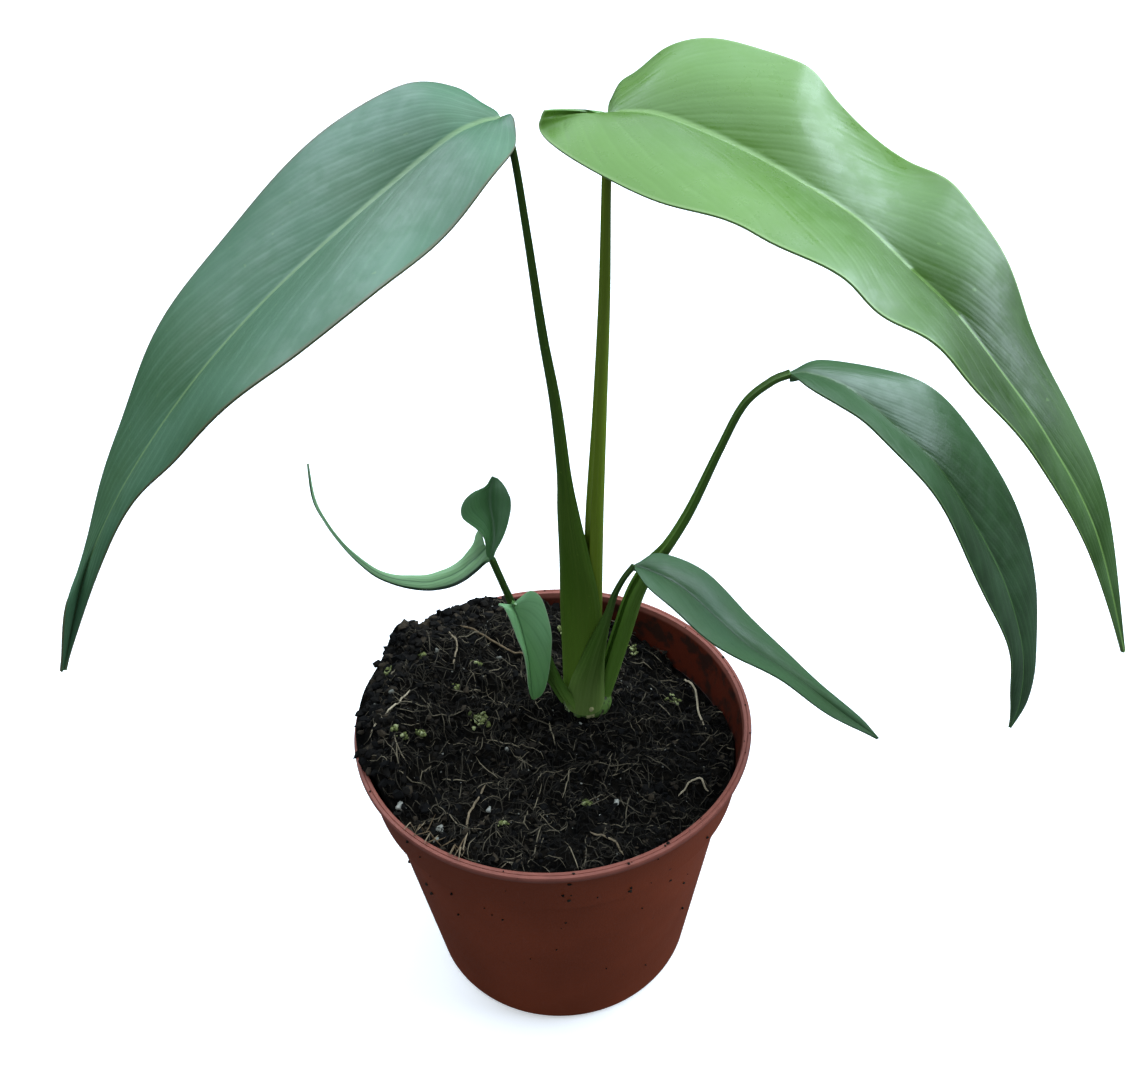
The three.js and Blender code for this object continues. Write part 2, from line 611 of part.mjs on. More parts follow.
function makeBlade({ rows, columns, rib, arch, wave, waves, stations }, grow = 0) {
  const ribCurve = railCurve(stations.map((s) => s[0]));
  const leftCurve = railCurve(stations.map((s) => s[1]));
  const rightCurve = railCurve(stations.map((s) => s[2]));
  const middle = [];
  for (let i = 0; i <= rows; i += 1) {
    const u = (i / rows) * TIP_TRIM;
    const spine = ribCurve.getPoint(u);
    const along = ribCurve.getTangent(u);
    for (let j = 0; j <= columns; j += 1) {
      const v = (2 * j) / columns - 1;
      const marginCurve = v < 0 ? leftCurve : rightCurve;
      const half = marginCurve.getPoint(u).sub(spine);
      const reach = half.length();
      const course = heading(ribCurve, u).add(heading(marginCurve, u));
      const up = course.cross(v < 0 ? half : half.clone().negate()).normalize();
      const s = Math.abs(v);
      const ripple = wave * s * s * Math.sin(2 * Math.PI * waves * u + (v < 0 ? 0 : 1.7));
      const taper = Math.min(1, 4 * (1 - u));
      const bulge = arch * reach * 4 * s * (1 - s);
      const stretch = s === 1 ? 1 + grow / Math.max(reach, 0.1) : s;
      const start = i === 0 ? -1.5 * grow : 0;
      middle.push({
        point: spine.clone().addScaledVector(half, stretch).addScaledVector(along, start).addScaledVector(up, bulge + ripple * taper),
        ridge: rib * (1 - 0.8 * u) * Math.exp(-((s * reach) ** 2) / 1.5),
      });
    }
  }
  const width = columns + 1;
  const at = (i, j) => {
    const row = Math.min(Math.max(i, 0), rows);
    const column = Math.min(Math.max(j, 0), columns);
    return middle[row * width + column].point;
  };
  const points = [];
  for (const face of [1, -1]) {
    for (let i = 0; i <= rows; i += 1) {
      for (let j = 0; j <= columns; j += 1) {
        const along = at(i + 1, j).clone().sub(at(i - 1, j));
        const across = at(i, j - 1).clone().sub(at(i, j + 1));
        const normal = along.cross(across).normalize();
        const { point, ridge } = middle[i * width + j];
        const offset = face > 0 ? BLADE_THICKNESS / 2 + grow : -(BLADE_THICKNESS / 2 + grow + ridge);
        points.push(point.clone().addScaledVector(normal, offset));
      }
    }
  }
  const triangles = [];
  const under = (rows + 1) * width;
  for (let i = 0; i < rows; i += 1) {
    for (let j = 0; j < columns; j += 1) {
      const a = i * width + j;
      const b = a + 1;
      const c = a + width;
      const d = c + 1;
      triangles.push(a, b, d, a, d, c);
      triangles.push(under + a, under + d, under + b, under + a, under + c, under + d);
    }
  }
  const rim = [];
  for (let j = 0; j < columns; j += 1) rim.push(j);
  for (let i = 0; i < rows; i += 1) rim.push(i * width + columns);
  for (let j = columns; j > 0; j -= 1) rim.push(rows * width + j);
  for (let i = rows; i > 0; i -= 1) rim.push(i * width);
  rim.forEach((a, i) => {
    const b = rim[(i + 1) % rim.length];
    triangles.push(a, under + a, under + b, a, under + b, b);
  });
  return solidFromTriangles(points, triangles);
}

// A leaf is one blade, and the curled one also has a head that stands up from its base.
function makeLeaf(spec, grow = 0) {
  const blade = makeBlade(spec, grow);
  return spec.head ? blade.add(makeBlade({ ...spec, ...spec.head }, grow)) : blade;
}

// Assembly

const group = new THREE.Group();
group.name = "potted_flame_monstera";

function addPiece(name, solid, color, roughness) {
  // A cut can leave a crumb beside the piece, so the largest body is kept.
  const [body] = solid.decompose().sort((a, b) => b.volume() - a.volume());
  const material = new THREE.MeshStandardMaterial({ color, roughness, metalness: 0 });
  const mesh = new THREE.Mesh(geometryFromSolid(body), material);
  mesh.name = name;
  group.add(mesh);
}

const crown = makeCrown(0);
const crownHole = makeCrown(GAP);

// Each stalk is fitted round the crown and the stalks before it, and ends under its own blade.
const stalkOrder = [
  "petiole_large_right",
  "petiole_large_left",
  "petiole_small_right",
  "petiole_middle_right",
  "petiole_curled_left",
  "petiole_small_front",
];
const stalkSolids = {};
let taken = crownHole;
for (const name of stalkOrder) {
  const spec = STALKS[name];
  const bladeRoom = makeLeaf(BLADES[name.replace("petiole", "blade")], JOINT_GAP);
  stalkSolids[name] = makeStalk(spec).subtract(taken).subtract(bladeRoom);
  taken = taken.add(makeStalk(spec, { grow: GAP, filled: true }));
}

addPiece("pot", makePot(), 0x5b3325, 0.5);
addPiece("soil", makeSoil().subtract(taken), 0x1d1a16, 1);
addPiece("crown", crown, 0x8aa864, 0.5);
for (const name of stalkOrder) {
  addPiece(name, stalkSolids[name], STALKS[name].color, 0.5);
}
for (const [name, spec] of Object.entries(BLADES)) {
  addPiece(name, makeLeaf(spec), spec.color, 0.4);
}

export default group;
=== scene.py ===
import math
import random

import bmesh
import bpy
from bpy.props import FloatProperty, FloatVectorProperty, IntProperty, PointerProperty
from mathutils import Matrix, Vector, noise


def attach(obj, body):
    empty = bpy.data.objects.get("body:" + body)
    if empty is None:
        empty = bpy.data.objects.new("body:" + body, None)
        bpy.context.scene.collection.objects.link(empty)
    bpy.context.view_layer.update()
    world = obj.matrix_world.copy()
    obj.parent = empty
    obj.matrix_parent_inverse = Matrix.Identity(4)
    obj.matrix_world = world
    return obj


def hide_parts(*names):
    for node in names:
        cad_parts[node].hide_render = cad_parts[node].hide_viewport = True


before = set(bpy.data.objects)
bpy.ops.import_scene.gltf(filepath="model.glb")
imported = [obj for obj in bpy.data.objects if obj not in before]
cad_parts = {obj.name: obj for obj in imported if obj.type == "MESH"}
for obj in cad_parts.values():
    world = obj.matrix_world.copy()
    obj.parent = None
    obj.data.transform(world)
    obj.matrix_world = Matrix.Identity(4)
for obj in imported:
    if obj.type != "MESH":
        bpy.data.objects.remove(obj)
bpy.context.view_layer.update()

bl_info = {
    "name": "Potted flame monstera",
    "version": (1, 0, 0),
    "blender": (4, 5, 0),
    "location": "View3D > Sidebar > Plant",
    "description": "Dresses the solids of a young potted aroid with its leaves, soil and pot finish",
    "category": "Object",
}

# Everything below is in millimetres until it is placed, as in the part's source
MM = 0.001

# Camera, fitted to the pot's rim and foot in the photo
PHOTO_WIDTH_PX = 1145
FOCAL_PX = 1250
SENSOR_WIDTH = 36
CAMERA_PLACE = (7.93, -267.69, 370.81)
CAMERA_PITCH = math.radians(37.448)
CAMERA_ROLL = math.radians(-1.949)

# Soft lights: name, place and size in metres, share of the light power
SOFTBOXES = [
    ("overhead_softbox", (-0.1, 0.35, 1.35), (2.2, 1.5), 1.0),
    ("right_softbox", (1.2, 0.2, 1.1), (1.5, 1.0), 1.4),
    ("left_back_softbox", (-0.9, 0.8, 1.2), (1.2, 0.9), 0.3),
    ("front_fill", (-0.3, -1.5, 0.9), (1.0, 1.0), 0.22),
]

# Pot
RIM_RADIUS = 60
POT_HEIGHT = 96
LIP_WIDTH = 2.3
LIP_DROP = 2.6
COLLAR_HEIGHT = 18.6
COLLAR_FOOT_RADIUS = 56.3
COLLAR_FLARE = 0.62
BODY_TOP_RADIUS = 53.6
BODY_STEP = 1.4
BASE_RADIUS = 42.6
BASE_CORNER = 3.5
POT_WALL = 1.2
POT_FLOOR = 1.6
DRAIN_HOLES = 6
DRAIN_RADIUS = 4
DRAIN_CIRCLE = 30
COLLAR_FOOT = POT_HEIGHT - COLLAR_HEIGHT

# Soil: level, heaps as (x, y, rise, spread x, spread y), and seeded lumps
GAP = 0.3
SOIL_LEVEL = 88
SOIL_HEAPS = [
    (-42, 24, 13, 26, 34),
    (-50, -12, 9, 12, 22),
    (-46, 31, 6, 6, 6),
    (-16, 50, 7, 22, 18),
    (48, 30, -9, 24, 34),
    (-6, -50, 5, 40, 14),
]
SPILL_RADIUS = RIM_RADIUS - 0.9
SOIL_LUMPS = 46
LUMP_REACH = 54
LUMP_CLEARANCE = 20
SOIL_SEED = 20417

# Crown
CROWN_PLACE = (10.5, 14)
CROWN_HALF = (7.8, 6.6)
CROWN_BOTTOM = 58
CROWN_TOP = 93
CROWN_DOME = 5
CROWN_SIDES = 64
BUD_PLACE = (11.6, 7.8, 91)
BUD_RADIUS = 1.3
BUD_LENGTH = 4

# Leaf stalks: rows of x, y, z, half width across, half depth towards the open side, sheath 0..1
SHEATH_EDGE = 0.8
SHEATH_WRAP = math.radians(140)
STALK_WRAP = math.radians(125)
STALKS = {
    "petiole_large_left": {
        "open": (1, 0.14, 0),
        "back": 5,
        "rows": [
            (9.8, 15, 89.5, 5, 6.4, 1),
            (10, 15, 106, 5.1, 6.5, 1),
            (10, 15, 128, 5, 6.5, 1),
            (8.8, 14.5, 146, 4.4, 5, 0.8),
            (7.4, 14, 163, 3.1, 3.6, 0.4),
            (6.5, 13.5, 177, 2.4, 2.4, 0),
            (4.9, 13, 199, 1.9, 1.9, 0),
            (2.3, 12.5, 220, 1.5, 1.5, 0),
            (-0.3, 12, 247, 1.2, 1.2, 0),
            (-2.5, 12.5, 266.5, 1.1, 1.1, 0),
            (-4.8, 14, 274, 1.3, 1.3, 0),
        ],
    },
    "petiole_large_right": {
        "open": (-1, -0.3, 0),
        "back": 3,
        "rows": [
            (12.4, 15.6, 90, 3, 3, 0),
            (13, 15.6, 127, 3, 3.1, 0),
            (14, 16, 158, 2.9, 2.9, 0),
            (16, 16.8, 192, 2.2, 2.2, 0),
            (17.7, 16.4, 226, 1.7, 1.7, 0),
            (18.5, 14, 257, 1.3, 1.3, 0),
            (19.2, 12.1, 274, 1.4, 1.4, 0),
        ],
    },
    "petiole_middle_right": {
        "open": (-0.8, -0.1, 0.6),
        "back": 2.2,
        "rows": [
            (15.6, 15.6, 89.5, 3.2, 2.8, 1),
            (18.5, 16.5, 100.6, 3.6, 3, 1),
            (22.1, 17.5, 114, 3.6, 3, 1),
            (26, 18.4, 128, 3.3, 2.8, 0.9),
            (30.4, 18.5, 138, 2.6, 2.4, 0.5),
            (35.6, 18.5, 146, 1.8, 1.8, 0.1),
            (41.6, 18, 159, 1.6, 1.6, 0),
            (48.4, 16, 179.5, 1.3, 1.3, 0),
            (53.9, 13, 196, 1.2, 1.2, 0),
            (60.2, 11, 204, 1.2, 1.2, 0),
            (65, 10, 207, 1.2, 1.2, 0),
        ],
    },
    "petiole_small_right": {
        "open": (-0.5, 0.85, 0),
        "back": 1.5,
        "rows": [
            (10, 12.4, 89.5, 6.4, 6, 1),
            (11.2, 11.6, 101, 5.2, 5, 1),
            (13.4, 9.6, 113, 3.2, 3.4, 0.9),
            (16, 8, 124, 1.8, 2, 0.5),
            (17.8, 7.2, 131, 1.2, 1.3, 0.1),
            (19.5, 6.5, 138, 1, 1, 0),
            (22.1, 5.8, 144.5, 0.9, 0.9, 0),
            (25.1, 6, 149, 0.9, 0.9, 0),
        ],
    },
    "petiole_curled_left": {
        "open": (-0.5, -0.5, 0.7),
        "back": 1.4,
        "rows": [
            (4.6, 12.4, 89.5, 2, 1.8, 0.5),
            (1.4, 12, 97, 1.8, 1.7, 0.5),
            (-4.6, 11, 113, 1.5, 1.5, 0.1),
            (-10.2, 10, 132, 1.2, 1.2, 0),
            (-12.8, 9, 142, 1.1, 1.1, 0),
            (-15, 8, 151, 1.1, 1.1, 0),
        ],
    },
    "petiole_small_front": {
        "open": (-0.6, -0.4, 0.6),
        "back": 1.3,
        "rows": [
            (6.4, 9, 91, 2, 1.8, 0.6),
            (3.4, 8, 98.8, 1.7, 1.6, 0.5),
            (1.2, 7, 107, 1.1, 1.1, 0),
            (-1.4, 5.2, 118.5, 0.9, 0.9, 0),
            (-5, 3.4, 131, 0.8, 0.8, 0),
            (-9.4, 0.4, 141, 0.8, 0.8, 0),
        ],
    },
}

# Leaf blades: stations of midrib, left margin and right margin from base to tip
TIP_TRIM = 0.993
BLADE_SKIN = 0.55
BLADES = {
    "blade_large_left": {
        "rib": 1.6,
        "arch": 0.05,
        "wave": 0.5,
        "waves": 5,
        "stations": [
            ((-5, 14, 274), (-3, 13, 275), (-6, 16, 274)),
            ((-6, 13, 274), (-2, 8, 275), (-9, 19, 276)),
            ((-10, 11, 274), (-2, 0, 272), (-16, 23, 278)),
            ((-17, 7, 272), (-8, -11, 268), (-28, 24, 279)),
            ((-31, 2, 263), (-19, -21, 260), (-44, 23, 271)),
            ((-46, -5, 253), (-32, -31, 253), (-63, 18, 257)),
            ((-61, -12, 242), (-47, -37, 245), (-79, 10, 242)),
            ((-75, -20, 230), (-62, -41, 235), (-92, -2, 227)),
            ((-88, -27, 216), (-77, -41, 222), (-101, -15, 210)),
            ((-98, -34, 203), (-90, -40, 209), (-106, -30, 195)),
            ((-107, -40, 187), (-102, -42, 191), (-110, -45, 184)),
            ((-117, -46, 162), (-117, -46, 162), (-117, -46, 162)),
        ],
    },
    "blade_large_right": {
        "rib": 1.6,
        "arch": 0.05,
        "wave": 0.7,
        "waves": 6,
        "stations": [
            ((19, 12, 274), (21, 28, 273), (5, 6, 277)),
            ((22, 12, 275), (25, 31, 277), (4, 5, 274)),
            ((30, 10, 275), (34, 32, 283), (11, -4, 270)),
            ((40, 7, 272), (49, 31, 284), (27, -17, 267)),
            ((52, 3, 267), (64, 27, 280), (42, -25, 264)),
            ((63, -3, 262), (73, 23, 272), (52, -31, 262)),
            ((74, -9, 256), (89, 16, 260), (64, -36, 256)),
            ((84, -16, 248), (98, 3, 258), (73, -40, 250)),
            ((93, -24, 241), (105, -8, 250), (83, -44, 244)),
            ((102, -31, 231), (112, -18, 235), (94, -46, 234)),
            ((114, -38, 216), (122, -30, 217), (108, -47, 217)),
            ((128, -43, 193), (132, -39, 195), (124, -47, 194)),
            ((143, -46, 155), (143, -46, 155), (143, -46, 155)),
        ],
    },
    "blade_middle_right": {
        "rib": 1.4,
        "arch": 0.06,
        "wave": 0.4,
        "waves": 4,
        "stations": [
            ((65, 10, 207), (66, 13, 206), (65, 7, 208)),
            ((70, 10, 207), (75, 18, 206), (68, 1, 209)),
            ((80, 9, 203), (89, 21, 202), (75, -5, 206)),
            ((92, 7, 193), (106, 22, 194), (84, -9, 201)),
            ((105, 4, 181), (120, 20, 180), (96, -14, 189)),
            ((118, 0, 162), (133, 14, 159), (107, -15, 172)),
            ((128, -4, 144), (141, 6, 137), (118, -16, 151)),
            ((135, -8, 124), (142, -2, 117), (128, -16, 130)),
            ((136, -12, 109), (140, -9, 105), (132, -15, 112)),
            ((134, -15, 99), (134, -15, 99), (134, -15, 99)),
        ],
    },
    "blade_small_right": {
        "rib": 1,
        "arch": 0.06,
        "wave": 0.2,
        "waves": 3,
        "stations": [
            ((25, 6, 149), (26, 8, 148), (25, 4, 149)),
            ((29, 5, 148), (33, 12, 148), (28, -3, 149)),
            ((38, 2, 144), (46, 12, 141), (34, -10, 147)),
            ((48, -3, 136), (59, 4, 129), (42, -16, 142)),
            ((57, -9, 130), (69, -6, 124), (51, -20, 137)),
            ((69, -15, 124), (78, -14, 118), (64, -23, 130)),
            ((81, -21, 116), (87, -22, 114), (78, -25, 118)),
            ((92, -27, 110), (92, -27, 110), (92, -27, 110)),
        ],
    },
    "blade_curled_left": {
        "rib": 0.5,
        "arch": 0.1,
        "wave": 0,
        "waves": 1,
        "spread": (0.45, 1.0),
        "stations": [
            ((-16.5, 9, 154.5), (-15.5, 8.2, 150.2), (-18, 12, 159.3)),
            ((-18, 8.4, 153.2), (-17, 7.2, 150), (-19.3, 11.8, 157.4)),
            ((-19.6, 7.8, 151.8), (-18.6, 6.2, 149), (-20.2, 11.2, 154.7)),
            ((-21.5, 7.2, 150.5), (-20.8, 5.2, 147.6), (-21.9, 10.4, 152.5)),
            ((-23.7, 6.5, 149), (-23.1, 4.4, 146.3), (-24.1, 9.6, 150.2)),
            ((-26.4, 5.6, 147.9), (-26, 3.6, 145.3), (-26.9, 8.4, 148.8)),
            ((-29.4, 4.6, 147.5), (-29.2, 2.8, 145), (-29.9, 7.2, 148.3)),
            ((-33, 3.6, 147.3), (-33.1, 2, 145.3), (-33.5, 5.8, 148.2)),
            ((-37, 2.6, 148.5), (-37.5, 1.2, 146.7), (-37.3, 4.4, 149.3)),
            ((-41.6, 1.6, 150.4), (-42.2, 0.6, 149), (-41.9, 3, 150.9)),
            ((-46.3, 0.8, 153.5), (-47, 0, 152.7), (-46.2, 1.8, 153.9)),
            ((-50.5, 0.2, 158.7), (-51.1, -0.4, 158.2), (-50.4, 0.9, 159.1)),
            ((-54.5, 0, 164.8), (-54.8, -0.4, 164.5), (-54.3, 0.5, 165.1)),
            ((-58, 1, 171.6), (-58.3, 0.6, 171.4), (-57.8, 1.4, 171.8)),
            ((-60.7, 4, 177.3), (-60.9, 3.6, 177.2), (-60.4, 4.4, 177.3)),
            ((-62.3, 12, 184.4), (-62.3, 12, 184.4), (-62.3, 12, 184.4)),
        ],
        "head": {
            "arch": 0.05,
            "spread": (0.0, 0.3),
            "stations": [
                ((-15.4, 8, 150.7), (-16, 8, 150.6), (-14.6, 8, 151)),
                ((-15.1, 8.2, 152.6), (-16.5, 7.9, 153.3), (-13.9, 8.2, 153.4)),
                ((-14.7, 8.8, 154.7), (-16.4, 7.8, 156.2), (-13.2, 8.8, 154.5)),
                ((-14.2, 9.8, 157.1), (-16.6, 7.9, 158.7), (-11.8, 9.6, 156.8)),
                ((-14.1, 11, 159.6), (-17.6, 8.2, 160.5), (-10.5, 10.6, 159.6)),
                ((-14.2, 12.2, 162.2), (-18.8, 8.6, 161.7), (-9.5, 11.6, 162.7)),
                ((-14.6, 13.2, 164.5), (-20.5, 9, 163), (-8.9, 12.6, 165.4)),
                ((-14.7, 14, 166.7), (-22.3, 9.6, 164.6), (-8.9, 13.4, 167.9)),
                ((-14.6, 14.6, 168.8), (-22.7, 10.6, 166.8), (-9.5, 14, 169.6)),
                ((-14.4, 15.1, 170.5), (-21.5, 12, 169.2), (-10.1, 14.6, 171)),
                ((-14.1, 15.5, 171.7), (-19.1, 13.4, 170.7), (-10.9, 15.2, 172.1)),
                ((-13.8, 15.8, 172.7), (-15.9, 14.8, 171.4), (-11.8, 15.6, 173)),
                ((-13.6, 15.9, 173.3), (-14.6, 15.4, 172.6), (-12.6, 15.8, 173.6)),
                ((-13.5, 16, 173.8), (-13.5, 16, 173.8), (-13.5, 16, 173.8)),
            ],
        },
    },
    "blade_small_front": {
        "rib": 0.5,
        "arch": 0.08,
        "wave": 0,
        "waves": 1,
        "stations": [
            ((-9.7, 0, 141.2), (-9.1, 0, 141.5), (-10.2, 0, 141)),
            ((-9.4, -0.3, 140.3), (-7.6, 0.6, 142.8), (-12.2, -1, 142.3)),
            ((-9, -0.6, 139.2), (-4.4, 1.4, 144.6), (-13.3, -1.8, 142.9)),
            ((-8.5, -1, 137.9), (-1.7, 1.8, 141.9), (-11.9, -2.4, 141.8)),
            ((-7.7, -1.5, 134.5), (-0.1, 1.8, 135.8), (-10.5, -3.2, 138.4)),
            ((-6.8, -2.1, 129.3), (0.9, 1.4, 127.7), (-8.7, -4, 131.8)),
            ((-6.1, -2.6, 123.1), (0.5, 0.8, 121), (-7, -4.4, 125.8)),
            ((-5.8, -3, 117), (-0.3, -0.2, 114.9), (-6.5, -4.4, 119.2)),
            ((-5.7, -3, 111.8), (-1.6, -1.2, 109.2), (-6.5, -4, 113.2)),
            ((-5.6, -2.6, 107.7), (-3.2, -1.8, 106.3), (-6.3, -3.2, 108.7)),
            ((-5.4, -2.2, 105.2), (-5.4, -2.2, 105.2), (-5.4, -2.2, 105.2)),
        ],
    },
}


def spline(rows, share):
    """Catmull-Rom through rows of numbers, in every column."""
    scaled = share * (len(rows) - 1)
    i = min(int(scaled), len(rows) - 2)
    t = scaled - i
    b = rows[i]
    d = rows[i + 1]
    a = rows[i - 1] if i > 0 else [2 * p - q for p, q in zip(b, d)]
    e = rows[i + 2] if i + 2 < len(rows) else [2 * q - p for p, q in zip(b, d)]
    values = []
    for before, start, end, after in zip(a, b, d, e):
        slope_in = (end - before) / 2
        slope_out = (after - start) / 2
        values.append(
            (2 * t**3 - 3 * t**2 + 1) * start + (t**3 - 2 * t**2 + t) * slope_in
            + (3 * t**2 - 2 * t**3) * end + (t**3 - t**2) * slope_out
        )
    return values


def clamp(value, low=0.0, high=1.0):
    return max(low, min(high, value))


def grid_sheet(bm, rows, columns, place):
    """A bmesh grid whose every point is moved to place(u, v), with u and v from 0 to 1."""
    made = bmesh.ops.create_grid(bm, x_segments=rows, y_segments=columns, size=1)["verts"]
    for vert in made:
        vert.co = place(vert, (vert.co.x + 1) / 2, (vert.co.y + 1) / 2)


def mesh_object(name, bm):
    """Put a bmesh into a new object of the scene."""
    mesh = bpy.data.meshes.new(name)
    bm.to_mesh(mesh)
    bm.free()
    made = bpy.data.objects.new(name, mesh)
    bpy.context.scene.collection.objects.link(made)
    return made


def finish_piece(bm, name, material, slot, replaces=(), sharp=None):
    """Turn a bmesh in millimetres into a piece that rides on the plant's one body."""
    bmesh.ops.scale(bm, verts=bm.verts, vec=(MM, MM, MM))
    for face in bm.faces:
        face.smooth = True
    if sharp is not None:
        for edge in bm.edges:
            if len(edge.link_faces) == 2 and edge.calc_face_angle(0) > sharp:
                edge.smooth = False
    piece = mesh_object(name, bm)
    piece.data.materials.append(material)
    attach(piece, "root")
    if replaces:
        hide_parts(*replaces)
    return piece


def spin_profile(bm, verts, steps, merge):
    """Spin a profile round the Z axis into a closed shell."""
    edges = [bm.edges.new(pair) for pair in zip(verts, verts[1:])]
    bmesh.ops.spin(
        bm, geom=verts + edges, cent=(0, 0, 0), axis=(0, 0, 1), angle=2 * math.pi,
        steps=steps, use_merge=True, use_duplicate=False, dvec=(0, 0, 0),
    )
    bmesh.ops.remove_doubles(bm, verts=bm.verts, dist=merge)


class NodeKit:
    """Short calls for building one node tree."""

    def __init__(self, tree):
        self.tree = tree

    def new(self, kind, **settings):
        made = self.tree.nodes.new(kind)
        for key, value in settings.items():
            setattr(made, key, value)
        return made

    def feed(self, socket, value):
        if hasattr(value, "is_output"):
            self.tree.links.new(value, socket)
        elif socket.type == "RGBA":
            socket.default_value = (*value, 1)
        else:
            socket.default_value = value

    def math(self, operation, *values):
        made = self.new("ShaderNodeMath", operation=operation)
        for socket, value in zip(made.inputs, values):
            self.feed(socket, value)
        return made.outputs[0]

    def mix(self, factor, first, second):
        made = self.new("ShaderNodeMix", data_type="RGBA")
        self.feed(made.inputs["Factor"], factor)
        self.feed(made.inputs[6], first)
        self.feed(made.inputs[7], second)
        return made.outputs[2]

    def step(self, value, low, high, out_low=0.0, out_high=1.0):
        made = self.new("ShaderNodeMapRange", interpolation_type="SMOOTHSTEP")
        for key, entry in zip(
            ("Value", "From Min", "From Max", "To Min", "To Max"), (value, low, high, out_low, out_high)
        ):
            self.feed(made.inputs[key], entry)
        return made.outputs[0]

    def noise(self, place, scale, detail=3.0, roughness=0.5):
        made = self.new("ShaderNodeTexNoise")
        self.feed(made.inputs["Vector"], place)
        self.feed(made.inputs["Scale"], scale)
        self.feed(made.inputs["Detail"], detail)
        self.feed(made.inputs["Roughness"], roughness)
        return made.outputs["Fac"]

    def stretch(self, place, scale):
        made = self.new("ShaderNodeMapping")
        self.feed(made.inputs["Vector"], place)
        made.inputs["Scale"].default_value = scale
        return made.outputs[0]

    def attribute(self, name):
        return self.new("ShaderNodeAttribute", attribute_name=name).outputs["Fac"]

    def object_place(self):
        return self.new("ShaderNodeTexCoord").outputs["Object"]


def new_material(name):
    material = bpy.data.materials.new(name)
    material.use_nodes = True
    material.node_tree.nodes.clear()
    kit = NodeKit(material.node_tree)
    shader = kit.new("ShaderNodeBsdfPrincipled")
    output = kit.new("ShaderNodeOutputMaterial")
    kit.feed(output.inputs["Surface"], shader.outputs["BSDF"])
    return material, kit, shader


def add_bump(kit, shader, height, strength, distance):
    bump = kit.new("ShaderNodeBump")
    bump.inputs["Strength"].default_value = strength
    bump.inputs["Distance"].default_value = distance
    kit.feed(bump.inputs["Height"], height)
    kit.feed(shader.inputs["Normal"], bump.outputs["Normal"])


def new_group(name, inputs, outputs):
    """A shader node group with named number sockets, each input with its default."""
    group = bpy.data.node_groups.new(name, "ShaderNodeTree")
    for key, default in inputs.items():
        socket = group.interface.new_socket(name=key, in_out="INPUT", socket_type="NodeSocketFloat")
        socket.default_value = default
    for key in outputs:
        group.interface.new_socket(name=key, in_out="OUTPUT", socket_type="NodeSocketFloat")
    kit = NodeKit(group)
    return group, kit, kit.new("NodeGroupInput").outputs, kit.new("NodeGroupOutput").inputs


def use_group(kit, group, **values):
    made = kit.new("ShaderNodeGroup", node_tree=group)
    for key, value in values.items():
        kit.feed(made.inputs[key.replace("_", " ")], value)
    return made.outputs


# Shared finishes


def make_vein_group():
    """Side veins that leave the midrib at a slant, the midrib and the thin pale margin."""
    group, kit, given, result = new_group(
        "Leaf veins",
        {"Vein Count": 30.0, "Slant": 0.2, "Rib Width": 1.3, "Margin Width": 0.03},
        ("Vein", "Fine", "Rib", "Margin", "Height"),
    )
    share = kit.attribute("share")
    side = kit.math("ABSOLUTE", kit.attribute("side"))
    across = kit.math("ABSOLUTE", kit.attribute("across"))
    place = kit.object_place()
    drift = kit.math("MULTIPLY", kit.math("SUBTRACT", kit.noise(place, 60.0, 2.0), 0.5), 0.035)
    lean = kit.math("MULTIPLY", kit.math("POWER", side, 0.82), given["Slant"])
    course = kit.math("ADD", kit.math("SUBTRACT", share, lean), drift)
    masks = []
    for ratio, width in ((1.0, 0.34), (3.0, 0.45)):
        turns = kit.math("MULTIPLY", kit.math("MULTIPLY", course, given["Vein Count"]), ratio)
        away = kit.math("PINGPONG", turns, 0.5)
        masks.append(kit.step(away, 0.0, width, 1.0, 0.0))
    strength = kit.step(kit.noise(place, 140.0, 3.0), 0.3, 0.7, 0.35, 1.0)
    fade = kit.step(side, 0.82, 1.0, 1.0, 0.3)
    vein = kit.math("MULTIPLY", kit.math("MULTIPLY", masks[0], strength), fade)
    fine = kit.math("MULTIPLY", masks[1], fade)
    taper = kit.step(share, 0.0, 1.0, 1.0, 0.35)
    rib_reach = kit.math("MULTIPLY", kit.math("MULTIPLY", given["Rib Width"], MM), taper)
    rib = kit.step(kit.math("DIVIDE", across, rib_reach), 0.35, 1.0, 1.0, 0.0)
    edge = kit.math("SUBTRACT", 1.0, side)
    margin = kit.step(kit.math("DIVIDE", edge, given["Margin Width"]), 0.3, 1.0, 1.0, 0.0)
    height = kit.math("ADD", kit.math("MULTIPLY", vein, -1.0), kit.math("MULTIPLY", fine, -0.25))
    height = kit.math("ADD", height, kit.math("MULTIPLY", kit.noise(place, 900.0, 4.0), 0.35))
    for key, value in (("Vein", vein), ("Fine", fine), ("Rib", rib), ("Margin", margin), ("Height", height)):
        kit.feed(result[key], value)
    return group


def make_bloom_sheen_group():
    """Slow patches of waxy bloom with painted sheen, and small blemishes on a leaf."""
    group, kit, given, result = new_group(
        "Leaf bloom and sheen",
        {"Patch Scale": 30.0, "Speck Scale": 420.0},
        ("Patch", "Speck"),
    )
    place = kit.object_place()
    patch = kit.step(kit.noise(place, given["Patch Scale"], 3.0, 0.55), 0.38, 0.66)
    speck = kit.step(kit.noise(place, given["Speck Scale"], 2.0, 0.4), 0.72, 0.8)
    kit.feed(result["Patch"], patch)
    kit.feed(result["Speck"], speck)
    return group


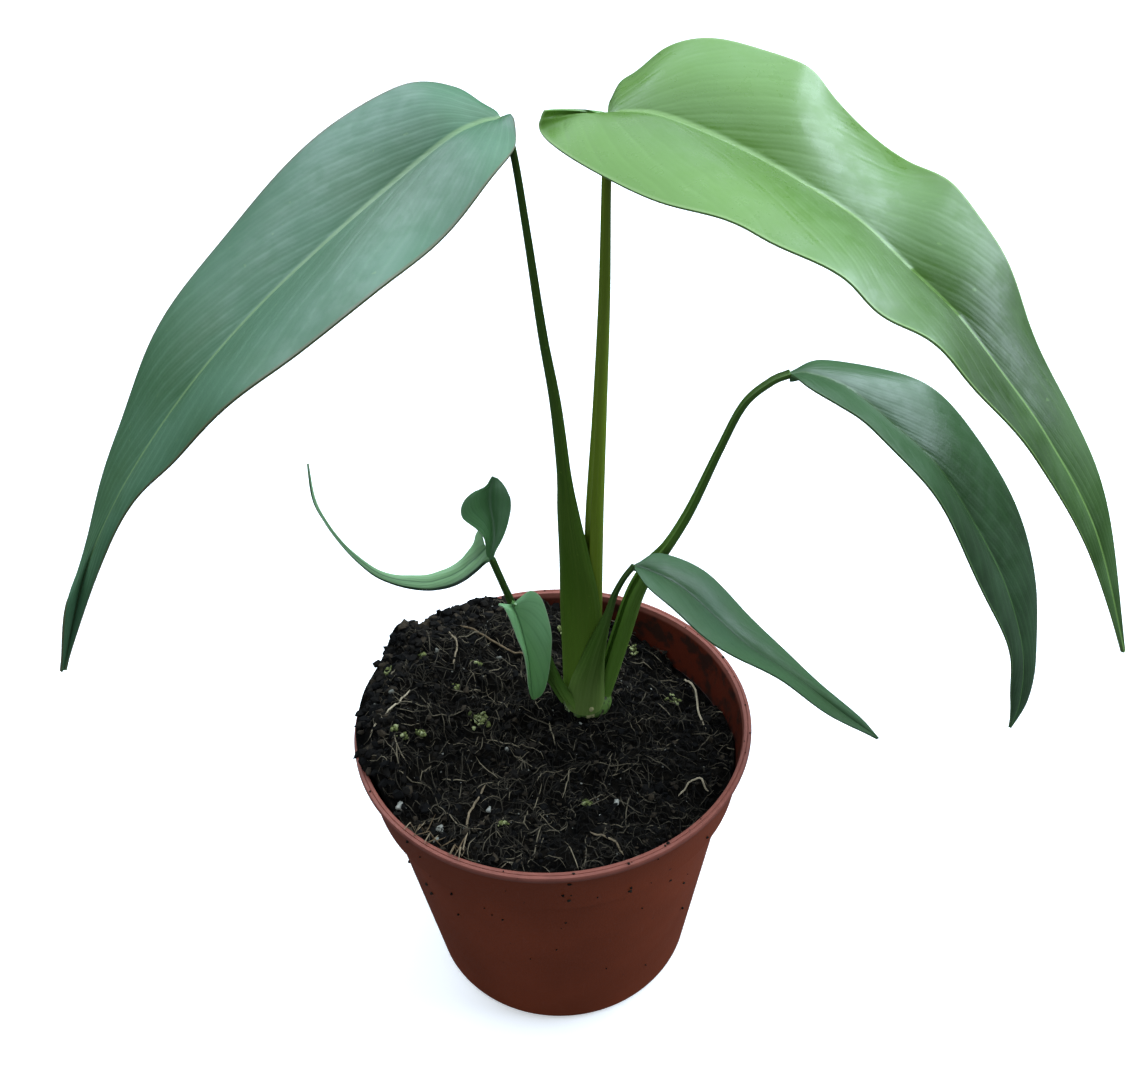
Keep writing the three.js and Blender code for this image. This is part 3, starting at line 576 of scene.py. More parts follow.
def make_streak_group():
    """Fine lengthwise streaks that run along a stalk."""
    group, kit, given, result = new_group("Stalk streaks", {"Streaks": 26.0}, ("Streak", "Fleck"))
    along = kit.attribute("along")
    around = kit.attribute("around")
    join = kit.new("ShaderNodeCombineXYZ")
    kit.feed(join.inputs["X"], kit.math("MULTIPLY", along, 30.0))
    kit.feed(join.inputs["Y"], kit.math("MULTIPLY", around, given["Streaks"]))
    streak = kit.step(kit.noise(join.outputs[0], 1.0, 3.0, 0.6), 0.35, 0.68)
    fleck = kit.step(kit.noise(kit.object_place(), 700.0, 2.0), 0.7, 0.78)
    kit.feed(result["Streak"], streak)
    kit.feed(result["Fleck"], fleck)
    return group


GROUP_MAKERS = {
    "Leaf veins": make_vein_group,
    "Leaf bloom and sheen": make_bloom_sheen_group,
    "Stalk streaks": make_streak_group,
}


def shared_group(name):
    found = bpy.data.node_groups.get(name)
    return found if found is not None else GROUP_MAKERS[name]()


# Leaf finishes: upper face inner and outer colour, bloom with painted sheen, vein, midrib, margin and
# underside

LEAF_DEFAULTS = {"tip_to": 0.95, "slant": 0.34, "mottle": 0.3, "rugose": 0.35, "specular": 0.4}
LEAF_LOOKS = {
    "blade_large_left": {
        "deep": (0.028, 0.105, 0.030), "light": (0.040, 0.135, 0.052), "bloom_sheen": (0.065, 0.170, 0.095),
        "vein": (0.110, 0.230, 0.120), "rib": (0.150, 0.260, 0.090), "margin": (0.090, 0.085, 0.030),
        "under": (0.100, 0.210, 0.080), "tip": (0.026, 0.085, 0.020), "tip_from": 0.35, "veins": 17.0,
        "vein_mix": 0.26, "bloom_sheen_mix": 0.45, "roughness": 0.42, "rib_width": 1.2, "specular": 0.5,
    },
    "blade_large_right": {
        "deep": (0.066, 0.155, 0.010), "light": (0.105, 0.230, 0.026), "bloom_sheen": (0.130, 0.260, 0.075),
        "vein": (0.150, 0.280, 0.060), "rib": (0.170, 0.300, 0.070), "margin": (0.180, 0.300, 0.080),
        "under": (0.120, 0.260, 0.060), "tip": (0.014, 0.046, 0.002), "tip_from": 0.3, "veins": 17.0,
        "vein_mix": 0.07, "bloom_sheen_mix": 0.3, "roughness": 0.33, "rib_width": 1.2, "mottle": 0.6,
        "tip_to": 0.85, "specular": 0.36,
    },
    "blade_middle_right": {
        "deep": (0.020, 0.070, 0.012), "light": (0.028, 0.090, 0.020), "bloom_sheen": (0.055, 0.130, 0.050),
        "vein": (0.050, 0.120, 0.040), "rib": (0.055, 0.120, 0.030), "margin": (0.080, 0.150, 0.050),
        "under": (0.060, 0.140, 0.040), "tip": (0.004, 0.017, 0.001), "tip_from": 0.25, "veins": 15.0,
        "vein_mix": 0.16, "bloom_sheen_mix": 0.35, "roughness": 0.34, "rib_width": 1.0, "tip_to": 0.7,
        "rugose": 1.0, "specular": 0.32,
    },
    "blade_small_right": {
        "deep": (0.030, 0.088, 0.018), "light": (0.055, 0.140, 0.045), "bloom_sheen": (0.055, 0.140, 0.070),
        "vein": (0.045, 0.120, 0.045), "rib": (0.020, 0.055, 0.015), "margin": (0.060, 0.130, 0.050),
        "under": (0.060, 0.140, 0.045), "tip": (0.020, 0.062, 0.010), "tip_from": 0.7, "veins": 10.0,
        "vein_mix": 0.14, "bloom_sheen_mix": 0.45, "roughness": 0.55, "rib_width": 0.8,
    },
    "blade_curled_left": {
        "deep": (0.052, 0.155, 0.042), "light": (0.075, 0.205, 0.062), "bloom_sheen": (0.100, 0.220, 0.120),
        "vein": (0.060, 0.150, 0.060), "rib": (0.090, 0.190, 0.080), "margin": (0.240, 0.360, 0.200),
        "under": (0.100, 0.220, 0.090), "tip": (0.250, 0.450, 0.200), "tip_from": 0.3, "veins": 9.0,
        "slant": 0.4, "vein_mix": 0.2, "bloom_sheen_mix": 0.2, "roughness": 0.42, "rib_width": 0.6,
        "tip_to": 0.45, "painted_shade_stripe": (0.012, 0.036, 0.010),
    },
    "blade_small_front": {
        "deep": (0.200, 0.450, 0.140), "light": (0.260, 0.540, 0.210), "bloom_sheen": (0.180, 0.380, 0.210),
        "vein": (0.080, 0.190, 0.070), "rib": (0.060, 0.150, 0.050), "margin": (0.420, 0.580, 0.340),
        "under": (0.110, 0.270, 0.050), "tip": (0.160, 0.400, 0.110), "tip_from": 0.3, "veins": 7.0,
        "slant": 0.4, "vein_mix": 0.16, "bloom_sheen_mix": 0.3, "roughness": 0.45, "rib_width": 0.5,
    },
}


def leaf_material(name, look):
    look = {**LEAF_DEFAULTS, **look}
    material, kit, shader = new_material(name + "_leaf")
    veins = use_group(
        kit, shared_group("Leaf veins"),
        Vein_Count=look["veins"], Slant=look["slant"], Rib_Width=look["rib_width"], Margin_Width=0.035,
    )
    bloom_sheen = use_group(kit, shared_group("Leaf bloom and sheen"), Patch_Scale=26.0, Speck_Scale=420.0)
    side = kit.math("ABSOLUTE", kit.attribute("side"))
    face = kit.mix(kit.step(side, 0.05, 0.75), look["deep"], look["light"])
    share = kit.attribute("share")
    tip = kit.step(share, look["tip_from"], look["tip_to"])
    face = kit.mix(tip, face, look["tip"])
    # Bloom patches lighten the face towards a bluish green: waxy bloom and painted sheen
    face = kit.mix(kit.math("MULTIPLY", bloom_sheen["Patch"], look["bloom_sheen_mix"]), face, look["bloom_sheen"])
    face = kit.mix(kit.math("MULTIPLY", veins["Fine"], look["vein_mix"] * 0.35), face, look["vein"])
    face = kit.mix(kit.math("MULTIPLY", veins["Vein"], look["vein_mix"]), face, look["vein"])
    face = kit.mix(kit.math("MULTIPLY", veins["Rib"], 0.75), face, look["rib"])
    face = kit.mix(kit.math("MULTIPLY", bloom_sheen["Speck"], 0.35), face, look["rib"])
    below = kit.mix(kit.math("MULTIPLY", veins["Vein"], 0.3), look["under"], look["rib"])
    colour = kit.mix(kit.attribute("under"), face, below)
    colour = kit.mix(kit.math("MULTIPLY", veins["Margin"], 0.8), colour, look["margin"])
    # Painted shade: a dark stripe along the near outer edge of the curled leaf's tail, where its underside
    # lies in shadow
    if "painted_shade_stripe" in look:
        shaded_near_edge = kit.step(kit.math("MULTIPLY", kit.attribute("side"), -1.0), 0.62, 0.78)
        tail = kit.step(share, 0.43, 0.5)
        colour = kit.mix(kit.math("MULTIPLY", shaded_near_edge, tail), colour, look["painted_shade_stripe"])
    kit.feed(shader.inputs["Base Color"], colour)
    place = kit.object_place()
    mottle = kit.step(kit.noise(place, 170.0, 4.0, 0.65), 0.35, 0.65, 0.5, -0.5)
    mottle = kit.math("MULTIPLY", mottle, 0.08 + 0.22 * look["mottle"])
    rough = kit.math("ADD", look["roughness"], kit.math("MULTIPLY", bloom_sheen["Patch"], 0.08))
    rough = kit.math("ADD", kit.math("ADD", rough, mottle), kit.step(share, 0.4, 0.9, 0.0, 0.12))
    kit.feed(shader.inputs["Roughness"], rough)
    kit.feed(shader.inputs["Coat Weight"], kit.step(share, 0.3, 0.85, 0.25, 0.05))
    shader.inputs["Coat Roughness"].default_value = 0.28
    shader.inputs["Specular IOR Level"].default_value = look["specular"]
    rugose = kit.math("MULTIPLY", kit.noise(place, 420.0, 3.0), 1.2 * look["rugose"])
    add_bump(kit, shader, kit.math("ADD", veins["Height"], rugose), 0.16, 0.0004)
    return material


# Stalk finishes: pale foot, middle and top colours and the streak colour

STALK_LOOKS = {
    "petiole_large_left": (
        (0.150, 0.260, 0.030), (0.055, 0.120, 0.006), (0.035, 0.090, 0.006), (0.110, 0.180, 0.02),
    ),
    "petiole_large_right": (
        (0.200, 0.290, 0.030), (0.160, 0.240, 0.010), (0.150, 0.220, 0.010), (0.20, 0.27, 0.04),
    ),
    "petiole_middle_right": (
        (0.120, 0.240, 0.030), (0.085, 0.180, 0.018), (0.055, 0.125, 0.013), (0.16, 0.28, 0.06),
    ),
    "petiole_small_right": (
        (0.150, 0.230, 0.050), (0.046, 0.110, 0.008), (0.022, 0.065, 0.008), (0.20, 0.30, 0.08),
    ),
    "petiole_curled_left": (
        (0.130, 0.230, 0.040), (0.045, 0.110, 0.012), (0.030, 0.080, 0.010), (0.11, 0.18, 0.04),
    ),
    "petiole_small_front": (
        (0.170, 0.300, 0.050), (0.080, 0.180, 0.022), (0.050, 0.130, 0.020), (0.16, 0.28, 0.06),
    ),
}


def stalk_material(name, look):
    foot, middle, top, streak = look
    material, kit, shader = new_material(name + "_stalk")
    lines = use_group(kit, shared_group("Stalk streaks"), Streaks=26.0)
    share = kit.attribute("share")
    colour = kit.mix(kit.step(share, 0.0, 0.34), foot, middle)
    colour = kit.mix(kit.step(share, 0.34, 0.8), colour, top)
    colour = kit.mix(kit.math("MULTIPLY", lines["Streak"], 0.4), colour, streak)
    colour = kit.mix(kit.math("MULTIPLY", lines["Fleck"], 0.4), colour, foot)
    kit.feed(shader.inputs["Base Color"], colour)
    shader.inputs["Roughness"].default_value = 0.45
    shader.inputs["Specular IOR Level"].default_value = 0.3
    add_bump(kit, shader, lines["Streak"], 0.25, 0.0003)
    return material


def crown_material():
    """Dark green flesh with soil on it, pale at the left, and a pale yellow bud in front."""
    material, kit, shader = new_material("crown_flesh")
    place = kit.object_place()
    parts = kit.new("ShaderNodeSeparateXYZ")
    kit.feed(parts.inputs[0], place)
    left = kit.step(parts.outputs["X"], (CROWN_PLACE[0] - 7) * MM, (CROWN_PLACE[0] - 2) * MM, 1.0, 0.0)
    green = kit.mix(kit.noise(place, 300.0, 3.0), (0.050, 0.100, 0.016), (0.130, 0.220, 0.050))
    flesh = kit.mix(kit.math("MULTIPLY", left, 0.8), green, (0.420, 0.520, 0.260))
    off = kit.math("ABSOLUTE", kit.math("SUBTRACT", parts.outputs["X"], BUD_PLACE[0] * MM))
    column = kit.step(off, 1.0 * MM, 1.5 * MM, 1.0, 0.0)
    front = kit.step(parts.outputs["Y"], (BUD_PLACE[1] - 0.4) * MM, (BUD_PLACE[1] + 0.6) * MM, 1.0, 0.0)
    flesh = kit.mix(kit.math("MULTIPLY", column, front), flesh, (0.520, 0.500, 0.230))
    soil = kit.step(kit.noise(place, 520.0, 4.0, 0.65), 0.50, 0.62)
    dirty = kit.mix(kit.math("MULTIPLY", soil, 0.85), flesh, (0.022, 0.018, 0.010))
    kit.feed(shader.inputs["Base Color"], dirty)
    shader.inputs["Roughness"].default_value = 0.6
    shader.inputs["Specular IOR Level"].default_value = 0.2
    add_bump(kit, shader, kit.noise(place, 900.0, 4.0), 0.4, 0.0005)
    return material


def pot_material(settings):
    material, kit, shader = new_material("pot_plastic")
    place = kit.object_place()
    zone = kit.attribute("zone")
    wall = kit.mix(
        kit.step(kit.noise(place, 22.0, 3.0), 0.35, 0.65), settings.wall_colour, settings.wall_shade
    )
    scratches = kit.step(kit.noise(kit.stretch(place, (500, 500, 90)), 1.0, 4.0, 0.65), 0.62, 0.74)
    wall = kit.mix(kit.math("MULTIPLY", scratches, 0.18), wall, settings.lip_colour)
    dirt = kit.step(kit.noise(place, 330.0, 4.0, 0.7), 0.68, 0.74)
    lip = kit.mix(kit.noise(place, 260.0, 3.0), settings.lip_colour, settings.lip_shade)
    inner = kit.mix(kit.noise(place, 90.0, 3.0), settings.inner_colour, settings.inner_shade)
    stain = kit.step(kit.noise(place, 150.0, 4.0, 0.6), 0.47, 0.62, 0.0, 0.75)
    inner = kit.mix(stain, inner, (0.010, 0.008, 0.006))
    colour = kit.mix(kit.step(zone, 0.3, 0.7), wall, lip)
    colour = kit.mix(kit.step(zone, 1.3, 1.7), colour, inner)
    colour = kit.mix(kit.math("MULTIPLY", dirt, 0.75), colour, (0.02, 0.015, 0.012))
    kit.feed(shader.inputs["Base Color"], colour)
    rough = kit.math("ADD", 0.42, kit.math("MULTIPLY", kit.noise(place, 160.0, 4.0), 0.16))
    kit.feed(shader.inputs["Roughness"], rough)
    shader.inputs["Specular IOR Level"].default_value = 0.25
    grain = kit.math("ADD", kit.noise(place, 1500.0, 3.0), kit.math("MULTIPLY", scratches, -0.6))
    add_bump(kit, shader, grain, 0.15, 0.0003)
    return material


def soil_material():
    material, kit, shader = new_material("soil_peat")
    place = kit.object_place()
    coarse = kit.step(kit.noise(place, 240.0, 5.0, 0.65), 0.35, 0.7)
    colour = kit.mix(coarse, (0.0018, 0.0016, 0.0014), (0.0090, 0.0070, 0.0048))
    bits = kit.step(kit.noise(place, 900.0, 3.0, 0.6), 0.6, 0.72)
    colour = kit.mix(kit.math("MULTIPLY", bits, 0.5), colour, (0.032, 0.024, 0.015))
    kit.feed(shader.inputs["Base Color"], colour)
    shader.inputs["Roughness"].default_value = 0.95
    shader.inputs["Specular IOR Level"].default_value = 0.06
    add_bump(kit, shader, kit.noise(place, 1300.0, 5.0, 0.7), 1.0, 0.0012)
    return material


def toned_material(name, dark, middle, light, roughness, grain):
    """A finish that runs from dark to light by each bit's tone, which for the peat fibres also holds painted
    light.
    """
    material, kit, shader = new_material(name)
    tone = kit.attribute("tone")
    colour = kit.mix(kit.step(tone, 0.0, 0.55), dark, middle)
    colour = kit.mix(kit.step(tone, 0.55, 1.0), colour, light)
    speckle = kit.noise(kit.object_place(), grain, 3.0, 0.6)
    colour = kit.mix(kit.step(speckle, 0.35, 0.7, 0.0, 0.45), colour, dark)
    kit.feed(shader.inputs["Base Color"], colour)
    shader.inputs["Roughness"].default_value = roughness
    shader.inputs["Specular IOR Level"].default_value = 0.15
    add_bump(kit, shader, speckle, 0.5, 0.0004)
    return material


# Pot


def wall_radius(z):
    """Inner face of the pot at height z."""
    if z > COLLAR_FOOT + POT_WALL:
        rise = (z - COLLAR_FOOT) / COLLAR_HEIGHT
        return COLLAR_FOOT_RADIUS + (RIM_RADIUS - COLLAR_FOOT_RADIUS) * rise * COLLAR_FLARE - POT_WALL
    return BASE_RADIUS + (BODY_TOP_RADIUS - BASE_RADIUS) * (z / (COLLAR_FOOT - BODY_STEP)) - POT_WALL


CORNER_STEPS = 6


def pot_profile():
    """Points of radius, height and zone: 0 outer wall, 1 lip, 2 inner wall."""
    points = [(0, 0, 0)]
    for i in range(CORNER_STEPS + 1):
        angle = i / CORNER_STEPS * math.pi / 2
        points.append((
            BASE_RADIUS - BASE_CORNER + BASE_CORNER * math.sin(angle),
            BASE_CORNER - BASE_CORNER * math.cos(angle),
            0,
        ))
    body_top = COLLAR_FOOT - BODY_STEP
    collar_top = POT_HEIGHT - LIP_DROP
    collar_outer = wall_radius(collar_top) + POT_WALL
    groove = RIM_RADIUS - LIP_WIDTH / 2
    lip_inner = RIM_RADIUS - LIP_WIDTH
    ledge = COLLAR_FOOT + POT_WALL
    points += [
        (BODY_TOP_RADIUS - 0.1, body_top - 1.2, 0),
        (BODY_TOP_RADIUS + 0.1, body_top, 0),
        (COLLAR_FOOT_RADIUS - 0.7, COLLAR_FOOT - 0.1, 0),
        (COLLAR_FOOT_RADIUS - 0.1, COLLAR_FOOT + 0.3, 0),
        (COLLAR_FOOT_RADIUS, COLLAR_FOOT + 0.8, 0),
        (collar_outer - 0.1, collar_top - 0.5, 0),
        (collar_outer + 0.1, collar_top + 0.1, 0),
        (RIM_RADIUS - 0.35, collar_top + 0.4, 1),
        (RIM_RADIUS, collar_top + 1.1, 1),
        (RIM_RADIUS, POT_HEIGHT - 0.55, 1),
        (RIM_RADIUS - 0.2, POT_HEIGHT - 0.15, 1),
        (RIM_RADIUS - 0.6, POT_HEIGHT, 1),
        (groove + 0.15, POT_HEIGHT - 0.02, 1),
        (groove, POT_HEIGHT - 0.25, 1),
        (groove - 0.15, POT_HEIGHT - 0.02, 1),
        (lip_inner + 0.45, POT_HEIGHT, 1),
        (lip_inner + 0.05, POT_HEIGHT - 0.15, 1),
        (lip_inner - 0.1, POT_HEIGHT - 0.6, 1),
        (wall_radius(collar_top), collar_top - 0.6, 2),
        (wall_radius(ledge + 0.01), ledge, 2),
        (wall_radius(COLLAR_FOOT), COLLAR_FOOT - 0.3, 2),
        (wall_radius(POT_FLOOR + 3), POT_FLOOR + 3, 2),
        (wall_radius(POT_FLOOR) - 3, POT_FLOOR, 2),
        (0, POT_FLOOR, 2),
    ]
    return points


def make_pot(settings):
    bm = bmesh.new()
    zone = bm.verts.layers.float.new("zone")
    verts = []
    for radius, height, mark in pot_profile():
        vert = bm.verts.new((radius, 0, height))
        vert[zone] = mark
        verts.append(vert)
    spin_profile(bm, verts, settings.pot_sides, 0.001)
    bmesh.ops.recalc_face_normals(bm, faces=bm.faces)
    pot = finish_piece(bm, "pot_shell", pot_material(settings), "pot", ["pot"], math.radians(34))
    cut_drain_holes(pot)


def cut_drain_holes(pot):
    bm = bmesh.new()
    for i in range(DRAIN_HOLES):
        angle = 2 * math.pi * (i + 0.5) / DRAIN_HOLES
        place = Matrix.Translation(
            (DRAIN_CIRCLE * math.cos(angle), DRAIN_CIRCLE * math.sin(angle), 0)
        )
        bmesh.ops.create_cone(
            bm, cap_ends=True, segments=32, radius1=DRAIN_RADIUS, radius2=DRAIN_RADIUS,
            depth=POT_FLOOR * 3, matrix=place,
        )
    bmesh.ops.scale(bm, verts=bm.verts, vec=(MM, MM, MM))
    drills = mesh_object("drain_drills", bm)
    cut = pot.modifiers.new("drain", "BOOLEAN")
    cut.operation = "DIFFERENCE"
    cut.solver = "EXACT"
    cut.object = drills
    graph = bpy.context.evaluated_depsgraph_get()
    holed = bpy.data.meshes.new_from_object(pot.evaluated_get(graph))
    pot.modifiers.remove(cut)
    pot.data = holed
    bpy.data.objects.remove(drills)


# Soil


def seeded_lumps():
    """The same seeded lumps as in the part's source."""
    state = SOIL_SEED

    def draw():
        nonlocal state
        state = (state * 1664525 + 1013904223) % 4294967296
        return state / 4294967296

    lumps = []
    while len(lumps) < SOIL_LUMPS:
        angle = draw() * 2 * math.pi
        distance = LUMP_REACH * math.sqrt(draw())
        x = distance * math.cos(angle)
        y = distance * math.sin(angle)
        width = 2.6 + 2.6 * draw()
        rise = 0.8 + 1.6 * draw()
        if math.hypot(x - CROWN_PLACE[0], y - CROWN_PLACE[1]) > LUMP_CLEARANCE:
            lumps.append((x, y, rise, width, width))
    return lumps


LUMPS = seeded_lumps()


def heap_sum(heaps, x, y):
    return sum(
        rise * math.exp(-(((x - hx) / sx) ** 2) - ((y - hy) / sy) ** 2) for hx, hy, rise, sx, sy in heaps
    )


def soil_height(x, y, lumpy=True):
    z = SOIL_LEVEL + heap_sum(SOIL_HEAPS, x, y)
    z += 0.7 * math.sin(x * 0.31 + 1.2) * math.cos(y * 0.27) + 0.5 * math.sin(x * 0.13 - y * 0.41)
    if lumpy:
        z += heap_sum(LUMPS, x, y)
    return z


def edge_height(angle):
    reach = wall_radius(SOIL_LEVEL) - GAP
    return soil_height(reach * math.cos(angle), reach * math.sin(angle), False)


def shoulder_height(angle):
    return min(edge_height(angle) - 1.6, POT_HEIGHT - 1.2)


def shoulder_radius(angle):
    return wall_radius(min(shoulder_height(angle), SOIL_LEVEL)) - GAP


def edge_radius(angle):
    over = clamp((edge_height(angle) - POT_HEIGHT - 0.6) / 1.5)
    inner = shoulder_radius(angle)
    return inner + (SPILL_RADIUS - inner) * over


COARSE_RELIEF = 1.6
CLOD_RELIEF = 2.0
FINE_RELIEF = 1.5


def crumb_relief(x, y):
    """Coarse peat relief, in millimetres."""
    coarse = noise.turbulence(Vector((x * 0.16, y * 0.16, 3.1)), 3, True) - 0.5
    clods = 0.42 - noise.voronoi(Vector((x * 0.3, y * 0.3, 1.7)))[0][0]
    fine = noise.turbulence(Vector((x * 0.6, y * 0.6, 9.7)), 3, True) - 0.5
    return COARSE_RELIEF * coarse + CLOD_RELIEF * clods + FINE_RELIEF * fine


SOIL_SECTORS = 300
SOIL_RINGS = 110
SOIL_EDGE_SINK = 0.8


def make_soil():
    side_profile = [
        (None, None),
        (wall_radius(COLLAR_FOOT + POT_WALL + 0.01) - GAP, COLLAR_FOOT + POT_WALL + GAP),
        (wall_radius(COLLAR_FOOT) - GAP, COLLAR_FOOT + 0.1),
        (wall_radius(POT_FLOOR + 3) - GAP, POT_FLOOR + 3),
    ]
    rows = SOIL_RINGS + len(side_profile) + 1

    def place(_vert, u, v):
        angle = 2 * math.pi * v
        row = round(u * rows)
        if row <= SOIL_RINGS:
            share = row / SOIL_RINGS
            radius = edge_radius(angle) * share
            x = radius * math.cos(angle)
            y = radius * math.sin(angle)
            calm = clamp((1 - share) / 0.03)
            if row == SOIL_RINGS:
                z = edge_height(angle) - SOIL_EDGE_SINK
            else:
                z = soil_height(x, y) + crumb_relief(x, y) * calm
            return Vector((x, y, z))
        step = row - SOIL_RINGS - 1
        if step == 0:
            radius = shoulder_radius(angle)
            height = shoulder_height(angle)
        elif step < len(side_profile):
            radius, height = side_profile[step]
        else:
            radius = 0
            height = POT_FLOOR + GAP
        return Vector((radius * math.cos(angle), radius * math.sin(angle), height))

    bm = bmesh.new()
    grid_sheet(bm, rows, SOIL_SECTORS, place)
    bmesh.ops.remove_doubles(bm, verts=bm.verts, dist=0.002)
    bmesh.ops.recalc_face_normals(bm, faces=bm.faces)
    finish_piece(bm, "soil_peat", soil_material(), "soil", ["soil"])


def ground_point(x, y, lift):
    """A point on the soil, or on the lip where the soil ends."""
    angle = math.atan2(y, x)
    radius = math.hypot(x, y)
    limit = edge_radius(angle) - 0.4
    if radius > limit:
        x *= limit / radius
        y *= limit / radius
    return Vector((x, y, soil_height(x, y) + crumb_relief(x, y) + lift))


def add_thread(bm, points, radius, tone, tone_layer, sides=4):
    """A thin tapering thread along a list of points."""
    count = len(points) - 1

    def place(vert, u, v):
        i = round(u * count)
        before = points[max(i - 1, 0)]
        after = points[min(i + 1, count)]
        along = (after - before).normalized()
        side = along.cross(Vector((0.13, 0.21, 1))).normalized()
        up = side.cross(along)
        angle = 2 * math.pi * v
        size = radius * (1 if 0 < i < count else 0.25)
        vert[tone_layer] = tone
        return points[i] + side * (size * math.cos(angle)) + up * (size * math.sin(angle))

    grid_sheet(bm, count, sides, place)


def random_ground(draw, reach=55.0):
    angle = draw.uniform(0, 2 * math.pi)
    distance = reach * math.sqrt(draw.random())
    return distance * math.cos(angle), distance * math.sin(angle)


FIBRES = 3600
STRAW_EVERY = 45
CRUMBS = 3400
CHUNKS = 420
LITTER_SEED = 7311
BATCH = 60


def absorb(whole, part, carrier):
    """Move a bmesh into another by way of a carrier mesh."""
    part.to_mesh(carrier)
    part.free()
    whole.from_mesh(carrier)


def gather(count, add_one):
    """Call add_one(bm, tone layer, index) for each bit, in small batches joined into one mesh."""
    whole = bmesh.new()
    whole.verts.layers.float.new("tone")
    carrier = bpy.data.meshes.new("carrier")
    for start in range(0, count, BATCH):
        part = bmesh.new()
        tone_layer = part.verts.layers.float.new("tone")
        for index in range(start, min(start + BATCH, count)):
            add_one(part, tone_layer, index)
        absorb(whole, part, carrier)
    bpy.data.meshes.remove(carrier)
    return whole


def make_fibres():
    """The tangle of dark peat fibres and paler straws that lies on the soil, with painted light making the
    fibres on the left paler.
    """
    draw = random.Random(LITTER_SEED)

    def add_fibre(bm, tone_layer, index):
        x, y = random_ground(draw)
        heading = draw.uniform(0, 2 * math.pi)
        straw = index % STRAW_EVERY == 0
        length = draw.uniform(6, 14) if straw else draw.uniform(2, 8)
        bend = draw.uniform(-0.06, 0.06) if straw else draw.uniform(-0.3, 0.3)
        lift = draw.uniform(0.0, 0.7)
        tilt = draw.uniform(-0.05, 0.18)
        steps = 5
        points = []
        for i in range(steps + 1):
            travelled = length * i / steps
            points.append(ground_point(x, y, lift + tilt * travelled))
            heading += bend * length / steps
            x += math.cos(heading) * length / steps
            y += math.sin(heading) * length / steps
        # Fibres that end in the left half are lifted 0.1 paler: painted light
        tone = draw.uniform(0.6, 1.0) if straw else draw.random() ** 3 * 0.8 + (0.1 if x < 0 else 0.0)
        radius = draw.uniform(0.12, 0.22) if straw else draw.uniform(0.06, 0.16)
        add_thread(bm, points, radius, tone, tone_layer)

    bm = gather(FIBRES, add_fibre)
    bmesh.ops.remove_doubles(bm, verts=bm.verts, dist=0.0005)
    material = toned_material(
        "peat_fibre", (0.006, 0.005, 0.004), (0.085, 0.072, 0.050), (0.280, 0.230, 0.150), 0.85, 700.0
    )
    finish_piece(bm, "soil_fibres", material, "soil")


def add_bit(bm, place, size, squash, subdivisions, tone, tone_layer, draw, rough=0.22):
    """One irregular crumb or stone."""
    turn = Matrix.Rotation(draw.uniform(0, 6.28), 4, "Z") @ Matrix.Rotation(draw.uniform(-0.6, 0.6), 4, "X")
    spread = Matrix.Diagonal((size, size * draw.uniform(0.6, 1), size * squash, 1))
    matrix = Matrix.Translation(place) @ turn @ spread
    made = bmesh.ops.create_icosphere(bm, subdivisions=subdivisions, radius=1, matrix=matrix)["verts"]
    shift = Vector((draw.uniform(-50, 50), draw.uniform(-50, 50), draw.uniform(-50, 50)))
    for vert in made:
        away = vert.co - place
        wobble = noise.noise(away / size * 1.1 + shift)
        vert.co = place + away * (1 + rough * 2 * wobble)
        vert[tone_layer] = tone


def make_crumbs():
    """Loose crumbs of peat and bark over the whole surface."""
    draw = random.Random(LITTER_SEED + 1)

    def add_crumb(bm, tone_layer, index):
        x, y = random_ground(draw)
        size = 0.3 + 1.1 * draw.random() ** 3
        if index < CHUNKS:
            angle = math.radians(draw.gauss(155, 36))
            reach = draw.uniform(48, 58.5)
            x = reach * math.cos(angle)
            y = reach * math.sin(angle)
            size = draw.uniform(0.6, 1.9)
        place = ground_point(x, y, size * 0.25)
        add_bit(bm, place, size, draw.uniform(0.45, 0.8), 1, draw.random() ** 2, tone_layer, draw, 0.5)

    material = toned_material(
        "peat_crumb", (0.0025, 0.0022, 0.002), (0.010, 0.008, 0.0058), (0.048, 0.036, 0.023), 0.95, 900.0
    )
    finish_piece(gather(CRUMBS, add_crumb), "soil_crumbs", material, "soil", (), math.radians(25))


# Perlite seen in the photo as x, y, size, then seeded specks
PERLITE = [
    (-53.5, 3.2, 1.5),
    (-36.3, 25, 1.1),
    (-18.8, -30.2, 1.4),
    (-32.4, -37.2, 1.6),
    (-33.2, -41.3, 1.2),
    (-14, -7.2, 0.9),
    (8.3, 5.3, 0.8),
    (-8, -15.1, 0.8),
    (17.9, -28.3, 1.3),
    (-48.5, 6.4, 1.6),
    (-43.7, -31.2, 1.9),
    (-17.1, 28.1, 1.2),
]
PERLITE_SHARE = 0.72
PERLITE_SPECKS = 110


def make_perlite():
    draw = random.Random(LITTER_SEED + 2)
    bm = bmesh.new()
    tone_layer = bm.verts.layers.float.new("tone")
    for x, y, size in PERLITE:
        size *= PERLITE_SHARE
        place = ground_point(x, y, size * 0.3)
        add_bit(bm, place, size, 0.8, 3, draw.uniform(0.3, 0.9), tone_layer, draw, 0.4)
    for _ in range(PERLITE_SPECKS):
        x, y = random_ground(draw)
        size = draw.uniform(0.14, 0.36)
        place = ground_point(x, y, size * 0.5)
        add_bit(bm, place, size, 0.8, 2, draw.uniform(0.2, 0.9), tone_layer, draw)
    material = toned_material(
        "perlite", (0.090, 0.085, 0.070), (0.220, 0.215, 0.180), (0.460, 0.450, 0.390), 0.8, 1500.0
    )
    finish_piece(bm, "soil_perlite", material, "soil")


